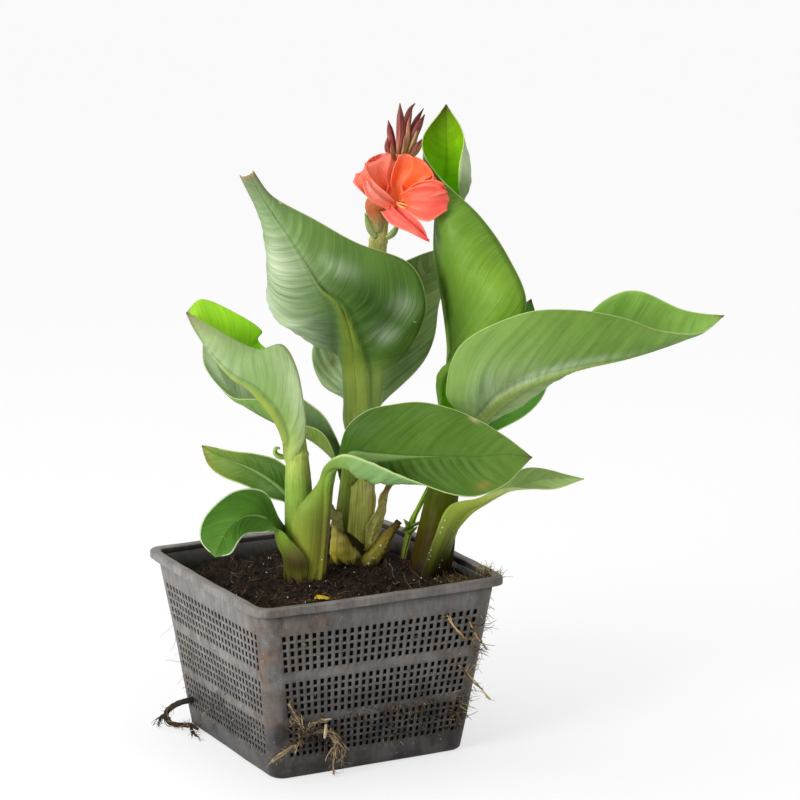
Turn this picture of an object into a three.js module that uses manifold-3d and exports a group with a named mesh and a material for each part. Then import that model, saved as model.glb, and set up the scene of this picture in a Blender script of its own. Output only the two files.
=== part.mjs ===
// A dwarf canna lily growing in a square mesh pond basket: three leafy shoots from one rhizome,
// eleven blades, one open flower under its spike of buds, and the roots that have found the mesh.
// Millimetres, +Z up. The origin is the centre of the basket's underside, and its sides lie along X and Y.
import * as THREE from "three";
import { mergeVertices } from "three/addons/utils/BufferGeometryUtils.js";
import Module from "manifold-3d";

const wasm = await Module();
wasm.setup();

// ---------------------------------------------------------------- driving dimensions

const GAP = 0.35; // clearance between pieces that bear on each other
const BASKET = {
  rimWidth: 182, // outside of the rolled rim
  height: 122,
  footWidth: 140,
  wall: 1.8,
  floor: 2.4,
  rimReach: 4.4, // how far the rim stands out from the wall
  rimDrop: 5.5, // height of the rim's outer skirt
  rimCorner: 10,
  cornerRadius: 9,
  cornerSteps: 4,
};
const MESH = {
  bands: [
    [75, 102],
    [43, 69],
    [15, 38],
  ], // heights of the three bands of openings
  rows: 2,
  columns: 9,
  openShare: 0.62, // of each mesh cell
};
const SOIL = {
  level: 112.5, // at the shoots
  fall: 5, // lower at the walls
  lump: 2,
  heap: { at: [76, -70], height: 8, reach: 26 }, // against the wall at one corner
  cells: 13,
  stalkHole: 2.7, // radius
  margin: 0.4,
  feet: [[-18, -5], [-16, -24], [33, 18], [36, 4], [66, -25], [-28, -51]], // where it stays even
};
const RHIZOME = { radius: 11, depth: 84 };
const BLADE = { thickness: 0.9, rows: 16, columns: 4, tip: 0.6 };
const FOOT = { sink: 2.5, drop: 5 }; // how a sheath's foot runs into the shoot it grows from

const COLOURS = {
  basket: 0x3d3b39,
  soil: 0x2a1d14,
  rhizome: 0xc9b48a,
  shoot: 0x8fb04a,
  leaf: 0x4f8a32,
  oldSheath: 0x9c9a4c,
  drySheath: 0xa98a58,
  flower: 0xf4694f,
  bud: 0x7a3a33,
  root: 0x6b4a2c,
  straw: 0xb09265,
  scrap: 0xf0d020,
};

// ---------------------------------------------------------------- small mathematics

const vec = (p) => new THREE.Vector3(...p);

// The value at t (0 to 1) of a smooth line through numbers set at equal steps.
function along(values, t) {
  const last = values.length - 1;
  const x = Math.min(Math.max(t, 0), 1) * last;
  const i = Math.min(Math.floor(x), last - 1);
  const f = x - i;
  const p = (k) => values[Math.min(Math.max(k, 0), last)];
  const slopeIn = (p(i + 1) - p(i - 1)) / 2;
  const slopeOut = (p(i + 2) - p(i)) / 2;
  return (
    (2 * f ** 3 - 3 * f ** 2 + 1) * p(i) +
    (f ** 3 - 2 * f ** 2 + f) * slopeIn +
    (3 * f ** 2 - 2 * f ** 3) * p(i + 1) +
    (f ** 3 - f ** 2) * slopeOut
  );
}

// ---------------------------------------------------------------- solids

function solidFrom(positions, triangles) {
  const mesh = new wasm.Mesh({
    numProp: 3,
    vertProperties: new Float32Array(positions.flat()),
    triVerts: new Uint32Array(triangles.flat()),
  });
  return new wasm.Manifold(mesh);
}

function solidOf(geometry) {
  const bare = geometry.clone();
  bare.deleteAttribute("normal");
  bare.deleteAttribute("uv");
  const merged = mergeVertices(bare, 1e-4);
  return new wasm.Manifold(
    new wasm.Mesh({
      numProp: 3,
      vertProperties: new Float32Array(merged.attributes.position.array),
      triVerts: new Uint32Array(merged.index.array),
    }),
  );
}

function geometryOf(solid) {
  const mesh = solid.getMesh();
  return new THREE.BufferGeometry()
    .setAttribute("position", new THREE.BufferAttribute(mesh.vertProperties, 3))
    .setIndex(new THREE.BufferAttribute(mesh.triVerts, 1));
}

// The largest body of a solid; crumbs that a cut leaves behind are dropped.
function mainBody(solid) {
  const bodies = solid.decompose();
  return bodies.sort((a, b) => b.volume() - a.volume())[0];
}

// A closed skin through rings of points that all have the same count and turn the same way.
function loft(rings) {
  const sides = rings[0].length;
  const points = rings.flat().map((p) => [p.x, p.y, p.z]);
  const faces = [];
  for (let i = 0; i < rings.length - 1; i++)
    for (let j = 0; j < sides; j++) {
      const a = i * sides + j;
      const b = i * sides + ((j + 1) % sides);
      faces.push([a, b, b + sides], [a, b + sides, a + sides]);
    }
  const top = (rings.length - 1) * sides;
  for (let j = 1; j < sides - 1; j++) faces.push([0, j + 1, j], [top, top + j, top + j + 1]);
  return solidFrom(points, faces);
}

// A round bar of changing radius along a smooth line through the points.
function bar(points, radii, sides, steps, grow = 0) {
  const curve = new THREE.CatmullRomCurve3(points.map(vec), false, "catmullrom", 0.5);
  let across = new THREE.Vector3(1, 0, 0);
  const rings = [];
  for (let i = 0; i <= steps; i++) {
    const t = i / steps;
    const centre = curve.getPointAt(t);
    const ahead = curve.getTangentAt(t);
    if (Math.abs(across.dot(ahead)) > 0.9) across = new THREE.Vector3(0, 0, 1);
    across = across.clone().addScaledVector(ahead, -across.dot(ahead)).normalize();
    const other = ahead.clone().cross(across);
    const r = along(radii, t) + grow;
    rings.push(
      Array.from({ length: sides }, (_, j) => {
        const a = (2 * Math.PI * j) / sides;
        return centre
          .clone()
          .addScaledVector(across, r * Math.cos(a))
          .addScaledVector(other, r * Math.sin(a));
      }),
    );
  }
  return loft(rings);
}

// The point at t (0 to 1) of a smooth line through points set at equal steps.
function onLine(points, t) {
  const [x, y, z] = [0, 1, 2].map((k) => along(points.map((p) => p[k]), t));
  return new THREE.Vector3(x, y, z);
}

// A leaf, sheath or petal: a thin skin through its stations, from foot to tip. Each station is the left
// margin, the rib and the right margin, seen from above with the tip ahead, and then, where they aren't
// left out, how far the left and the right half swell toward the upper side between rib and margin, and
// how far the rib stands out underneath.
function blade(spec) {
  const { swell = [0, 0], rows = BLADE.rows, columns = BLADE.columns } = spec;
  const stations = spec.rooted ? rooted(spec) : spec.stations;
  const [left, rib, right] = [0, 1, 2].map((k) => stations.map((station) => station[k]));
  const leftBow = stations.map((station) => station[3] ?? swell[0]);
  const rightBow = stations.map((station) => station[4] ?? swell[1]);
  const ribDepth = stations.map((station) => station[5] ?? 0);
  const half = (spec.thickness ?? BLADE.thickness) / 2;
  const count = 2 * columns + 1;
  const span = { left: new THREE.Vector3(), right: new THREE.Vector3() };
  const grid = [];
  for (let i = 0; i <= rows; i++) {
    const t = i / rows;
    const centre = onLine(rib, t);
    const ahead = onLine(rib, t + 0.01).sub(onLine(rib, t - 0.01)).normalize();
    for (const [side, margin] of [["left", left], ["right", right]]) {
      const reach = onLine(margin, t).sub(centre);
      span[side] = reach.length() < BLADE.tip ? span[side].clone().setLength(BLADE.tip) : reach;
    }
    const row = [];
    for (let j = -columns; j <= columns; j++) {
      const s = Math.abs(j) / columns;
      const chord = j < 0 ? span.left : span.right;
      const up = j < 0 ? ahead.clone().cross(chord) : chord.clone().cross(ahead);
      const bow = along(j < 0 ? leftBow : rightBow, t) * 4 * s * (1 - s);
      row.push(centre.clone().addScaledVector(chord, s).addScaledVector(up.normalize(), bow));
    }
    grid.push(row);
  }
  const normalAt = (i, j) => {
    const row = grid[i];
    const across = row[Math.min(j + 1, count - 1)].clone().sub(row[Math.max(j - 1, 0)]);
    const onward = grid[Math.min(i + 1, rows)][j].clone().sub(grid[Math.max(i - 1, 0)][j]);
    return across.cross(onward).normalize();
  };
  const points = [];
  for (const facing of [1, -1])
    grid.forEach((row, i) =>
      row.forEach((p, j) => {
        const onRib = facing < 0 && j === columns;
        const depth = onRib ? Math.max(along(ribDepth, i / rows), half) : half;
        const q = p.clone().addScaledVector(normalAt(i, j), facing * depth);
        points.push([q.x, q.y, q.z]);
      }),
    );
  const under = grid.length * count;
  const at = (i, j) => i * count + j;
  const faces = [];
  for (let i = 0; i < rows; i++)
    for (let j = 0; j < count - 1; j++) {
      const [a, b, c, d] = [at(i, j), at(i, j + 1), at(i + 1, j + 1), at(i + 1, j)];
      faces.push([a, b, c], [a, c, d]);
      faces.push([under + a, under + c, under + b], [under + a, under + d, under + c]);
    }
  const wall = (a, b) => faces.push([a, under + a, under + b], [a, under + b, b]);
  for (let i = 0; i < rows; i++) {
    wall(at(i + 1, 0), at(i, 0));
    wall(at(i, count - 1), at(i + 1, count - 1));
  }
  for (let j = 0; j < count - 1; j++) {
    wall(at(0, j), at(0, j + 1));
    wall(at(rows, j + 1), at(rows, j));
  }
  return solidFrom(points, faces);
}

// ---------------------------------------------------------------- the basket

// Half the basket's outer width at height z.
function taper(z) {
  const foot = BASKET.footWidth / 2;
  const mouth = BASKET.rimWidth / 2 - BASKET.rimReach;
  return foot + ((mouth - foot) * z) / BASKET.height;
}

// A square ring of points with round corners, at height z.
function squareRing(half, z, radius = BASKET.cornerRadius) {
  const ring = [];
  for (let corner = 0; corner < 4; corner++)
    for (let k = 0; k <= BASKET.cornerSteps; k++) {
      const a = (Math.PI / 2) * (corner + k / BASKET.cornerSteps);
      const sx = [1, -1, -1, 1][corner];
      const sy = [1, 1, -1, -1][corner];
      ring.push(
        new THREE.Vector3(
          sx * (half - radius) + radius * Math.cos(a),
          sy * (half - radius) + radius * Math.sin(a),
          z,
        ),
      );
    }
  return ring;
}

function basket() {
  const { height, wall, floor, rimCorner, rimDrop, cornerRadius } = BASKET;
  const rim = BASKET.rimWidth / 2;
  const outside = loft([
    squareRing(taper(0) - 2, 0),
    squareRing(taper(2), 2),
    squareRing(taper(height - rimDrop), height - rimDrop),
    squareRing(rim - 0.6, height - rimDrop, rimCorner),
    squareRing(rim, height - rimDrop + 1, rimCorner),
    squareRing(rim, height - 1, rimCorner),
    squareRing(rim - 1, height, rimCorner),
  ]);
  const inside = loft([
    squareRing(taper(floor) - wall, floor, cornerRadius - wall),
    squareRing(taper(height) - wall, height + 1, cornerRadius - wall),
  ]);
  return outside.subtract(inside).subtract(meshOpenings());
}

// The middle of one opening of the mesh, `out` beyond the wall's outer face. Side 0 faces -Y and the
// sides run anticlockwise from above; rows count from the top, columns from the left seen from outside.
function openingAt(side, row, column, out = 0) {
  const [low, high] = MESH.bands[Math.floor(row / MESH.rows)];
  const z = high - (((row % MESH.rows) + 0.5) * (high - low)) / MESH.rows;
  const x = (column - (MESH.columns - 1) / 2) * meshPitch(z);
  return new THREE.Vector3(x, -taper(z) - out, z)
    .applyAxisAngle(new THREE.Vector3(0, 0, 1), (side * Math.PI) / 2)
    .toArray();
}

function meshPitch(z) {
  return (2 * (taper(z) - BASKET.cornerRadius - 2)) / MESH.columns;
}

// Every opening of the mesh as one solid: short bars that run through the four walls.
function meshOpenings() {
  const through = 14;
  const bars = [];
  MESH.bands.forEach(([low, high], band) => {
    const tall = ((high - low) / MESH.rows) * MESH.openShare;
    for (let row = band * MESH.rows; row < (band + 1) * MESH.rows; row++)
      for (let column = 0; column < MESH.columns; column++)
        for (let side = 0; side < 4; side++) {
          const at = openingAt(side, row, column);
          const box = new THREE.BoxGeometry(meshPitch(at[2]) * MESH.openShare, through, tall);
          bars.push(solidOf(box.rotateZ((side * Math.PI) / 2).translate(...at)));
        }
  });
  return wasm.Manifold.union(bars);
}

// ---------------------------------------------------------------- shoots

const SHOOTS = {
  left: {
    line: [
      [-18, -7, 88],
      [-18, -5, 112],
      [-20, -4, 165],
      [-21, -3, 216],
    ],
    radii: [11.5, 12.5, 10, 8.5, 5.5],
    steps: 7,
  },
  centre: {
    line: [
      [31, 20, 88],
      [33, 20, 140],
      [38, 18, 215],
      [44, 17, 273],
      [51, 18, 334],
      [57, 18, 361],
      [64, 15, 386],
    ],
    radii: [14, 14, 11.5, 9, 7.5, 7, 6, 3.2, 2],
    steps: 14,
  },
  right: {
    line: [
      [58, -23, 88],
      [68, -26, 120],
      [77, -28, 172],
      [89, -33, 212],
    ],
    radii: [12, 14, 12, 9, 5],
    steps: 7,
  },
};
const SHOOT_SIDES = 12;

// The stump of an old stalk that leans out beside the centre shoot.
const STUB = {
  line: [
    [25, 6, 98],
    [31, 5, 111],
    [40, 3, 121],
    [49, 2, 133],
    [58, 1, 143],
  ],
  radii: [6, 7, 5.4, 3.8, 2],
};

// Two small bracts under the flower, as pointed bars that grow from the stalk.
const BRACTS = [
  [
    [50, 17, 334],
    [43, 19, 344],
    [42, 20, 351],
  ],
  [
    [54, 16, 333],
    [58, 11, 342],
    [61, 9, 345],
  ],
];
const BRACT_RADII = [2.4, 2.2, 0.4];

const shootSolid = (name, grow = 0) => {
  const { line, radii, steps } = SHOOTS[name];
  return bar(line, radii, SHOOT_SIDES, steps, grow);
};

const stubSolid = (grow = 0) => bar(STUB.line, STUB.radii, 8, 6, grow);

function shoot(name) {
  let solid = shootSolid(name).subtract(rhizome(GAP));
  if (name === "centre") for (const line of BRACTS) solid = solid.add(bar(line, BRACT_RADII, 5, 4));
  return mainBody(solid);
}

function stub() {
  return mainBody(stubSolid().subtract(shootSolid("centre", GAP)).subtract(rhizome(GAP)));
}

function rhizome(grow = 0) {
  const z = RHIZOME.depth;
  const line = [
    [-30, -9, z - 4],
    [-17, -5, z],
    [8, 10, z - 3],
    [31, 18, z],
    [48, 0, z - 3],
    [60, -24, z],
    [68, -38, z - 4],
  ];
  const knuckles = [0.5, 1, 0.75, 1.15, 0.8, 1.1, 0.45].map((k) => k * RHIZOME.radius);
  return bar(line, knuckles, 8, 14, grow);
}

// ---------------------------------------------------------------- soil

// The soil's surface: gently mounded and lumpy, but even round the feet of the shoots.
function soilHeight(x, y) {
  const { level, fall, lump, heap, feet } = SOIL;
  const out = Math.min(Math.hypot(x, y) / taper(level), 1.3);
  let rough = 1;
  for (const [fx, fy] of feet) {
    const near = THREE.MathUtils.smoothstep(Math.hypot(x - fx, y - fy), 18, 32);
    rough = Math.min(rough, near);
  }
  const waves = Math.sin(x / 7.3 + 1.7 * Math.sin(y / 11)) + Math.sin(y / 6.1 + 1.3 * Math.sin(x / 9));
  const heaped = heap.height * Math.exp(-(Math.hypot(x - heap.at[0], y - heap.at[1]) ** 2) / heap.reach ** 2);
  return level + rough * (heaped + 0.5 * lump * waves - fall * out * out);
}

function soil() {
  const { cells, margin } = SOIL;
  const half = BASKET.rimWidth / 2;
  const points = [];
  const faces = [];
  const count = cells + 1;
  for (const top of [true, false])
    for (let i = 0; i < count; i++)
      for (let j = 0; j < count; j++) {
        const x = -half + (2 * half * i) / cells;
        const y = -half + (2 * half * j) / cells;
        points.push([x, y, top ? soilHeight(x, y) : 0]);
      }
  const under = count * count;
  for (let i = 0; i < cells; i++)
    for (let j = 0; j < cells; j++) {
      const [a, b, c, d] = [i * count + j, (i + 1) * count + j, (i + 1) * count + j + 1, i * count + j + 1];
      faces.push([a, b, c], [a, c, d], [under + a, under + c, under + b], [under + a, under + d, under + c]);
    }
  const wall = (a, b) => faces.push([a, under + a, under + b], [a, under + b, b]);
  for (let i = 0; i < cells; i++) {
    wall(i * count, (i + 1) * count);
    wall((i + 1) * count + cells, i * count + cells);
    wall(cells * count + i, cells * count + i + 1);
    wall(i + 1, i);
  }
  const block = solidFrom(points, faces);
  const inset = BASKET.wall + margin;
  const low = BASKET.floor + GAP;
  const high = BASKET.height;
  const filling = loft([
    squareRing(taper(low) - inset, low, BASKET.cornerRadius - inset),
    squareRing(taper(high) - inset, high, BASKET.cornerRadius - inset),
  ]);
  let solid = filling.intersect(block).subtract(rhizome(GAP)).subtract(stubSolid(GAP));
  for (const name of Object.keys(SHOOTS)) solid = solid.subtract(shootSolid(name, GAP));
  return mainBody(solid.subtract(stalkHole()));
}

// The hole that the one thin leaf stalk without a shoot stands in.
function stalkHole() {
  const [foot, above] = LEAVES.right_back.stations.map((station) => vec(station[1]));
  const below = foot.clone().lerp(above, -0.3);
  const radii = [SOIL.stalkHole, SOIL.stalkHole];
  return bar([below, foot, above].map((p) => p.toArray()), radii, 8, 2);
}

// ---------------------------------------------------------------- leaves

const LEAVES = {
  left_top: {
    shoot: "left",
    rooted: true,
    stations: [
      [[-22, -11, 202], [-28, -2, 198], [-19, 3, 199], -3, -3, 2],
      [[-19, -13, 215], [-29, -4, 211], [-14, 5, 212], -3, -4, 3],
      [[-21, -14, 238], [-34, -5, 229], [-12, 13, 237], -4, -6, 3.5],
      [[-24, -11, 259], [-44, 1, 245], [-17, 23, 256], -5, -8, 3],
      [[-31, -4, 274], [-53, 8, 252], [-30, 34, 269], -5, -9, 2],
      [[-44, 5, 271], [-60, 16, 261], [-29, 32, 277], -4, -7, 1.5],
      [[-56, 15, 276], [-67, 24, 272], [-43, 36, 288], -3, -5, 1],
      [[-68, 27, 284], [-74, 32, 283], [-67, 42, 300], -1, -2, 0.8],
      [[-79, 42, 292], [-79, 42, 292], [-79, 42, 292], 0, 0, 0.5],
    ],
  },
  left_front: {
    shoot: "left",
    stations: [
      [[-4, -4, 112], [-12, -18, 112], [-28, -14, 112], -3, -3, 1.5],
      [[-4, -9, 144], [-9, -19, 143], [-30, -13, 143], -3, -4, 1.5],
      [[-4, -14, 166], [-9, -23, 166], [-28, -14, 162], -3, -4, 2],
      [[-3, -21, 183], [-10, -28, 182], [-16, -22, 182], -2, -2, 2.5],
      [[-2, -25, 198], [-9, -35, 196], [-16, -36, 198], -2, -3, 3],
      [[1, -32, 219], [-3, -46, 206], [-13, -56, 209], -2, -11, 3],
      [[12, -40, 232], [7, -54, 206], [-2, -69, 206], -2, -15, 2.5],
      [[26, -50, 237], [19, -64, 206], [10, -80, 200], -2, -15, 2],
      [[41, -60, 239], [34, -74, 206], [24, -92, 193], -2, -9, 1.5],
      [[56, -73, 236], [49, -85, 207], [40, -101, 187], -2, -5, 1],
      [[72, -85, 228], [65, -95, 207], [58, -107, 184], -2, -2, 0.8],
      [[85, -99, 218], [80, -105, 209], [76, -112, 191], -1, -1, 0.6],
      [[95, -113, 207], [95, -113, 207], [95, -113, 207], 0, 0, 0.5],
    ],
  },
  left_low: {
    shoot: "left",
    rows: 11,
    columns: 3,
    stations: [
      [[-23, -21, 112], [-31, -11, 112], [-21, 8, 112], -2, -3, 1],
      [[-22, -21, 130], [-33, -12, 129], [-23, 7, 130], -3, -3, 1.2],
      [[-33, -19, 145], [-38, -10, 141], [-27, 1, 147], -2, -3, 1.2],
      [[-41, -17, 153], [-41, -10, 155], [-35, -4, 158], -1, -2, 1.6],
      [[-51, -16, 152], [-51, -12, 162], [-46, -5, 177], -1, -2, 1.4],
      [[-65, -18, 153], [-64, -14, 164], [-67, -3, 179], -1, -2, 1],
      [[-73, -23, 151], [-75, -17, 159], [-85, -5, 168], -1, -2, 0.8],
      [[-79, -24, 145], [-84, -19, 150], [-92, -10, 155], -1, -1, 0.6],
      [[-90, -21, 142], [-90, -21, 142], [-90, -21, 142], 0, 0, 0.5],
    ],
  },
  left_back: {
    shoot: "left",
    rooted: true,
    rows: 11,
    columns: 3,
    stations: [
      [[-25, 4, 156], [-19, 8, 155], [-15, 6, 157], -1, -1, 1],
      [[-25, 6, 164], [-21, 11, 167], [-16, 15, 180], -2, -2, 1.6],
      [[-31, 18, 166], [-28, 21, 176], [-21, 25, 189], -2, -3, 1.4],
      [[-41, 33, 172], [-37, 35, 183], [-31, 38, 192], -2, -2, 1],
      [[-53, 46, 177], [-48, 48, 188], [-43, 49, 193], -2, -2, 0.8],
      [[-59, 56, 184], [-56, 56, 192], [-55, 57, 195], -1, -1, 0.6],
      [[-61, 61, 196], [-61, 61, 196], [-61, 61, 196], 0, 0, 0.5],
    ],
  },
  centre_front: {
    shoot: "centre",
    rooted: true,
    stations: [
      [[44, 8, 215], [29, 7, 212], [26, 20, 214], -4, -4, 3],
      [[47, 0, 245], [28, 5, 240], [26, 18, 241], -3, -4, 5],
      [[52, -7, 255], [26, 3, 256], [25, 17, 257], -4, -5, 5],
      [[61, -18, 274], [23, 2, 271], [7, 32, 271], -5, -14, 4.5],
      [[64, -25, 298], [12, -2, 297], [-11, 39, 285], -6, -19, 3.5],
      [[53, -22, 324], [-2, -1, 310], [-15, 42, 302], -6, -20, 2.5],
      [[19, -12, 339], [-13, 0, 327], [-16, 36, 318], -4, -16, 1.5],
      [[-6, -3, 354], [-24, 4, 346], [-25, 29, 338], -3, -10, 1],
      [[-28, 10, 370], [-35, 12, 365], [-36, 24, 361], -1, -3, 0.8],
      [[-44, 21, 385], [-44, 21, 385], [-44, 21, 385], 0, 0, 0.5],
    ],
  },
  centre_back: {
    shoot: "centre",
    rooted: true,
    stations: [
      [[37, 28, 210], [45, 28, 207], [49, 22, 212], -1, -1, 1],
      [[36, 38, 222], [50, 34, 223], [61, 24, 224], -2, -2, 2],
      [[23, 49, 233], [57, 40, 244], [81, 21, 241], -4, -4, 2],
      [[19, 53, 257], [68, 43, 266], [95, 20, 263], -5, -4, 1.5],
      [[38, 50, 289], [82, 43, 287], [101, 24, 286], -5, -4, 1],
      [[76, 41, 312], [99, 38, 305], [110, 28, 306], -3, -2, 0.8],
      [[115, 30, 324], [115, 30, 324], [115, 30, 324], 0, 0, 0.5],
    ],
  },
  centre_low: {
    shoot: "centre",
    rooted: true,
    rows: 11,
    columns: 3,
    stations: [
      [[27, 31, 170], [34, 34, 167], [37, 35, 173], -1, -1, 1],
      [[25, 34, 188], [29, 39, 181], [34, 41, 188], -2, -2, 1.6],
      [[18, 40, 202], [18, 50, 194], [28, 53, 208], -3, -4, 1.8],
      [[2, 51, 209], [2, 60, 203], [17, 68, 220], -3, -5, 1.5],
      [[-14, 64, 222], [-14, 71, 212], [3, 80, 233], -3, -5, 1],
      [[-33, 76, 225], [-27, 80, 223], [-12, 88, 247], -2, -4, 0.8],
      [[-46, 87, 245], [-37, 87, 244], [-26, 91, 260], -1, -2, 0.6],
      [[-44, 93, 271], [-44, 93, 271], [-44, 93, 271], 0, 0, 0.5],
    ],
  },
  right_tall: {
    shoot: "right",
    rooted: true,
    stations: [
      [[80, -26, 183], [90, -18, 179], [92, -26, 186], -3, -2, 1],
      [[80, -19, 218], [89, -13, 213], [92, -21, 220], -4, -3, 2],
      [[80, -26, 249], [90, -11, 240], [103, -16, 242], -8, -4, 3],
      [[106, -58, 271], [90, -13, 264], [123, -17, 264], -12, -6, 3],
      [[117, -66, 298], [88, -8, 294], [131, -17, 292], -14, -8, 2.5],
      [[113, -50, 327], [87, 2, 322], [122, -5, 325], -20, -8, 2],
      [[102, -31, 352], [90, 7, 350], [101, -8, 361], -20, -12, 1.5],
      [[80, -10, 381], [97, 9, 379], [96, -12, 381], -13, -14, 1],
      [[76, 1, 402], [96, 6, 403], [100, -11, 404], -4, -4, 0.6],
      [[93, 1, 424], [93, 1, 424], [93, 1, 424], 0, 0, 0.5],
    ],
  },
  right_wide: {
    shoot: "right",
    rooted: true,
    stations: [
      [[97, -38, 207], [87, -44, 211], [81, -47, 224], -3, -3, 2],
      [[106, -40, 217], [94, -54, 226], [66, -50, 241], -4, -7, 3],
      [[128, -45, 229], [106, -67, 241], [71, -62, 275], -6, -9, 3.5],
      [[142, -50, 249], [123, -81, 251], [101, -85, 296], -8, -8, 2.5],
      [[157, -62, 277], [145, -95, 259], [130, -100, 299], -10, -6, 2],
      [[171, -78, 299], [170, -107, 265], [159, -113, 294], -10, -5, 1.5],
      [[188, -92, 305], [193, -117, 272], [186, -124, 284], -8, -3, 1],
      [[210, -111, 294], [214, -124, 280], [213, -130, 282], -3, -1, 0.6],
      [[231, -128, 291], [231, -128, 291], [231, -128, 291], 0, 0, 0.5],
    ],
  },
  right_low: {
    shoot: "right",
    rows: 11,
    columns: 3,
    stations: [
      [[75, -30, 117], [63, -42, 114], [51, -42, 115], -3, -3, 1],
      [[77, -40, 143], [68, -49, 139], [56, -52, 144], -3, -3, 1.6],
      [[80, -51, 163], [77, -58, 158], [64, -58, 166], -2, -3, 2],
      [[91, -62, 172], [86, -68, 169], [79, -72, 173], -2, -2, 2],
      [[103, -68, 181], [96, -77, 177], [92, -83, 180], -2, -2, 1.5],
      [[113, -73, 189], [108, -85, 183], [105, -94, 181], -2, -2, 1],
      [[126, -84, 189], [121, -94, 186], [121, -102, 181], -1, -1, 0.6],
      [[139, -105, 186], [139, -105, 186], [139, -105, 186], 0, 0, 0.5],
    ],
  },
  right_back: {
    shoot: "right",
    stations: [
      [[52, -7, 107], [53, -8, 107], [55, -8, 107], -0.5, -0.5, 1.2],
      [[61, -5, 141], [63, -7, 141], [65, -7, 141], -0.5, -0.5, 1.2],
      [[69, -4, 154], [70, -6, 155], [72, -6, 154], -0.5, -0.5, 1.2],
      [[82, -3, 175], [84, -4, 174], [86, -5, 174], -0.5, -0.5, 1.5],
      [[94, -4, 198], [104, -3, 195], [109, -10, 194], -2, -2, 1.5],
      [[97, -1, 222], [122, -3, 218], [143, -21, 212], -5, -5, 1.2],
      [[110, 1, 250], [135, -3, 241], [160, -23, 234], -5, -5, 1],
      [[129, -2, 273], [146, -5, 265], [159, -16, 263], -3, -3, 0.8],
      [[155, -7, 289], [155, -7, 289], [155, -7, 289], 0, 0, 0.5],
    ],
  },
};

// Old sheaths round the foot of the centre shoot.
const SHEATHS = {
  front: {
    shoot: "centre",
    stations: [
      [[16, 19, 114], [21, 6, 114], [33, 3, 114]],
      [[17, 19, 129], [21, 7, 127], [33, 4, 120]],
      [[19, 19, 141], [21, 7, 138], [33, 5, 125]],
    ],
    swell: [-3, -2],
  },
  dry: {
    shoot: "centre",
    rooted: true,
    stations: [
      [[26, 5, 143], [27, 5, 142], [28, 5, 143]],
      [[25, 7, 155], [32, 2, 155], [39, 3, 154]],
      [[25, 8, 165], [33, 3, 165], [41, 4, 164]],
      [[27, 8, 175], [34, 4, 175], [42, 5, 173]],
    ],
    swell: [-1, -1],
  },
  side: {
    shoot: "centre",
    rooted: true,
    stations: [
      [[33, 3, 128], [36, 3, 127], [39, 4, 128]],
      [[33, 2, 141], [39, 2, 139], [46, 6, 137]],
      [[41, 1, 154], [45, 3, 151], [51, 8, 149]],
      [[43, 2, 161], [49, 4, 162], [53, 7, 163]],
      [[48, 1, 169], [53, 2, 170], [57, 3, 170]],
    ],
    swell: [-1, -1.5],
  },
};

// The stations of a blade with one more below them, sunk into the shoot that the blade grows from.
function rooted({ shoot: name, stations }) {
  const { line, radii } = SHOOTS[name];
  const curve = new THREE.CatmullRomCurve3(line.map(vec), false, "catmullrom", 0.5);
  const steps = 60;
  const sunk = stations[0].slice(0, 3).map((point) => {
    const below = vec(point).setZ(point[2] - FOOT.drop);
    let nearest = { gap: Infinity };
    for (let i = 0; i <= steps; i++) {
      const centre = curve.getPointAt(i / steps);
      const gap = centre.distanceTo(below);
      if (gap < nearest.gap) nearest = { gap, centre, radius: along(radii, i / steps) };
    }
    const { centre, radius } = nearest;
    return below.sub(centre).setLength(radius - FOOT.sink).add(centre).toArray();
  });
  return [[...sunk, ...stations[0].slice(3)], ...stations];
}

// ---------------------------------------------------------------- flower and buds

const PETALS = {
  right: {
    stations: [
      [[56, -1, 365], [55, -2, 363], [54, -1, 361]],
      [[59, -17, 372], [60, -13, 364], [57, -13, 356]],
      [[70, -27, 376], [69, -23, 365], [66, -25, 351]],
      [[79, -27, 370], [81, -26, 365], [79, -27, 358]],
    ],
  },
  upper: {
    stations: [
      [[53, 2, 366], [54, 0, 364], [57, -2, 364]],
      [[53, 3, 375], [61, 2, 373], [67, -7, 371]],
      [[55, -1, 386], [66, -1, 382], [72, -13, 377]],
      [[57, -4, 393], [62, -6, 392], [67, -10, 387]],
    ],
  },
  back: {
    stations: [
      [[53, 7, 366], [54, 6, 366], [56, 5, 367]],
      [[51, 14, 375], [57, 14, 376], [60, 10, 375]],
      [[53, 14, 385], [59, 15, 385], [63, 11, 384]],
      [[53, 12, 390], [57, 11, 392], [61, 10, 391]],
    ],
  },
  left: {
    stations: [
      [[46, 6, 361], [49, 5, 365], [51, 6, 369]],
      [[35, 4, 366], [41, 5, 373], [49, 8, 380]],
      [[28, 6, 375], [34, 6, 382], [51, 9, 390]],
      [[29, 9, 379], [34, 10, 386], [47, 13, 392]],
    ],
  },
  inner: {
    stations: [
      [[49, -3, 358], [51, -4, 360], [52, -3, 363]],
      [[38, -4, 363], [41, -6, 365], [45, -5, 368]],
      [[32, -3, 368], [34, -4, 372], [38, -4, 373]],
      [[30, 0, 375], [32, 0, 376], [35, 0, 377]],
    ],
  },
  lower: {
    stations: [
      [[54, -1, 361], [50, -1, 359], [46, 1, 357]],
      [[59, -9, 355], [53, -10, 353], [48, -5, 349]],
      [[64, -17, 348], [59, -18, 346], [57, -14, 344]],
      [[68, -22, 338], [68, -22, 338], [68, -22, 337]],
    ],
  },
};

// The swollen tube under the petals, from its foot at the stalk to the throat.
const CALYX = {
  line: [
    [49, 15, 341],
    [48, 13, 350],
    [45, 10, 360],
    [54, 0, 364],
  ],
  radii: [3, 5.5, 6, 3.5],
};

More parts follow.
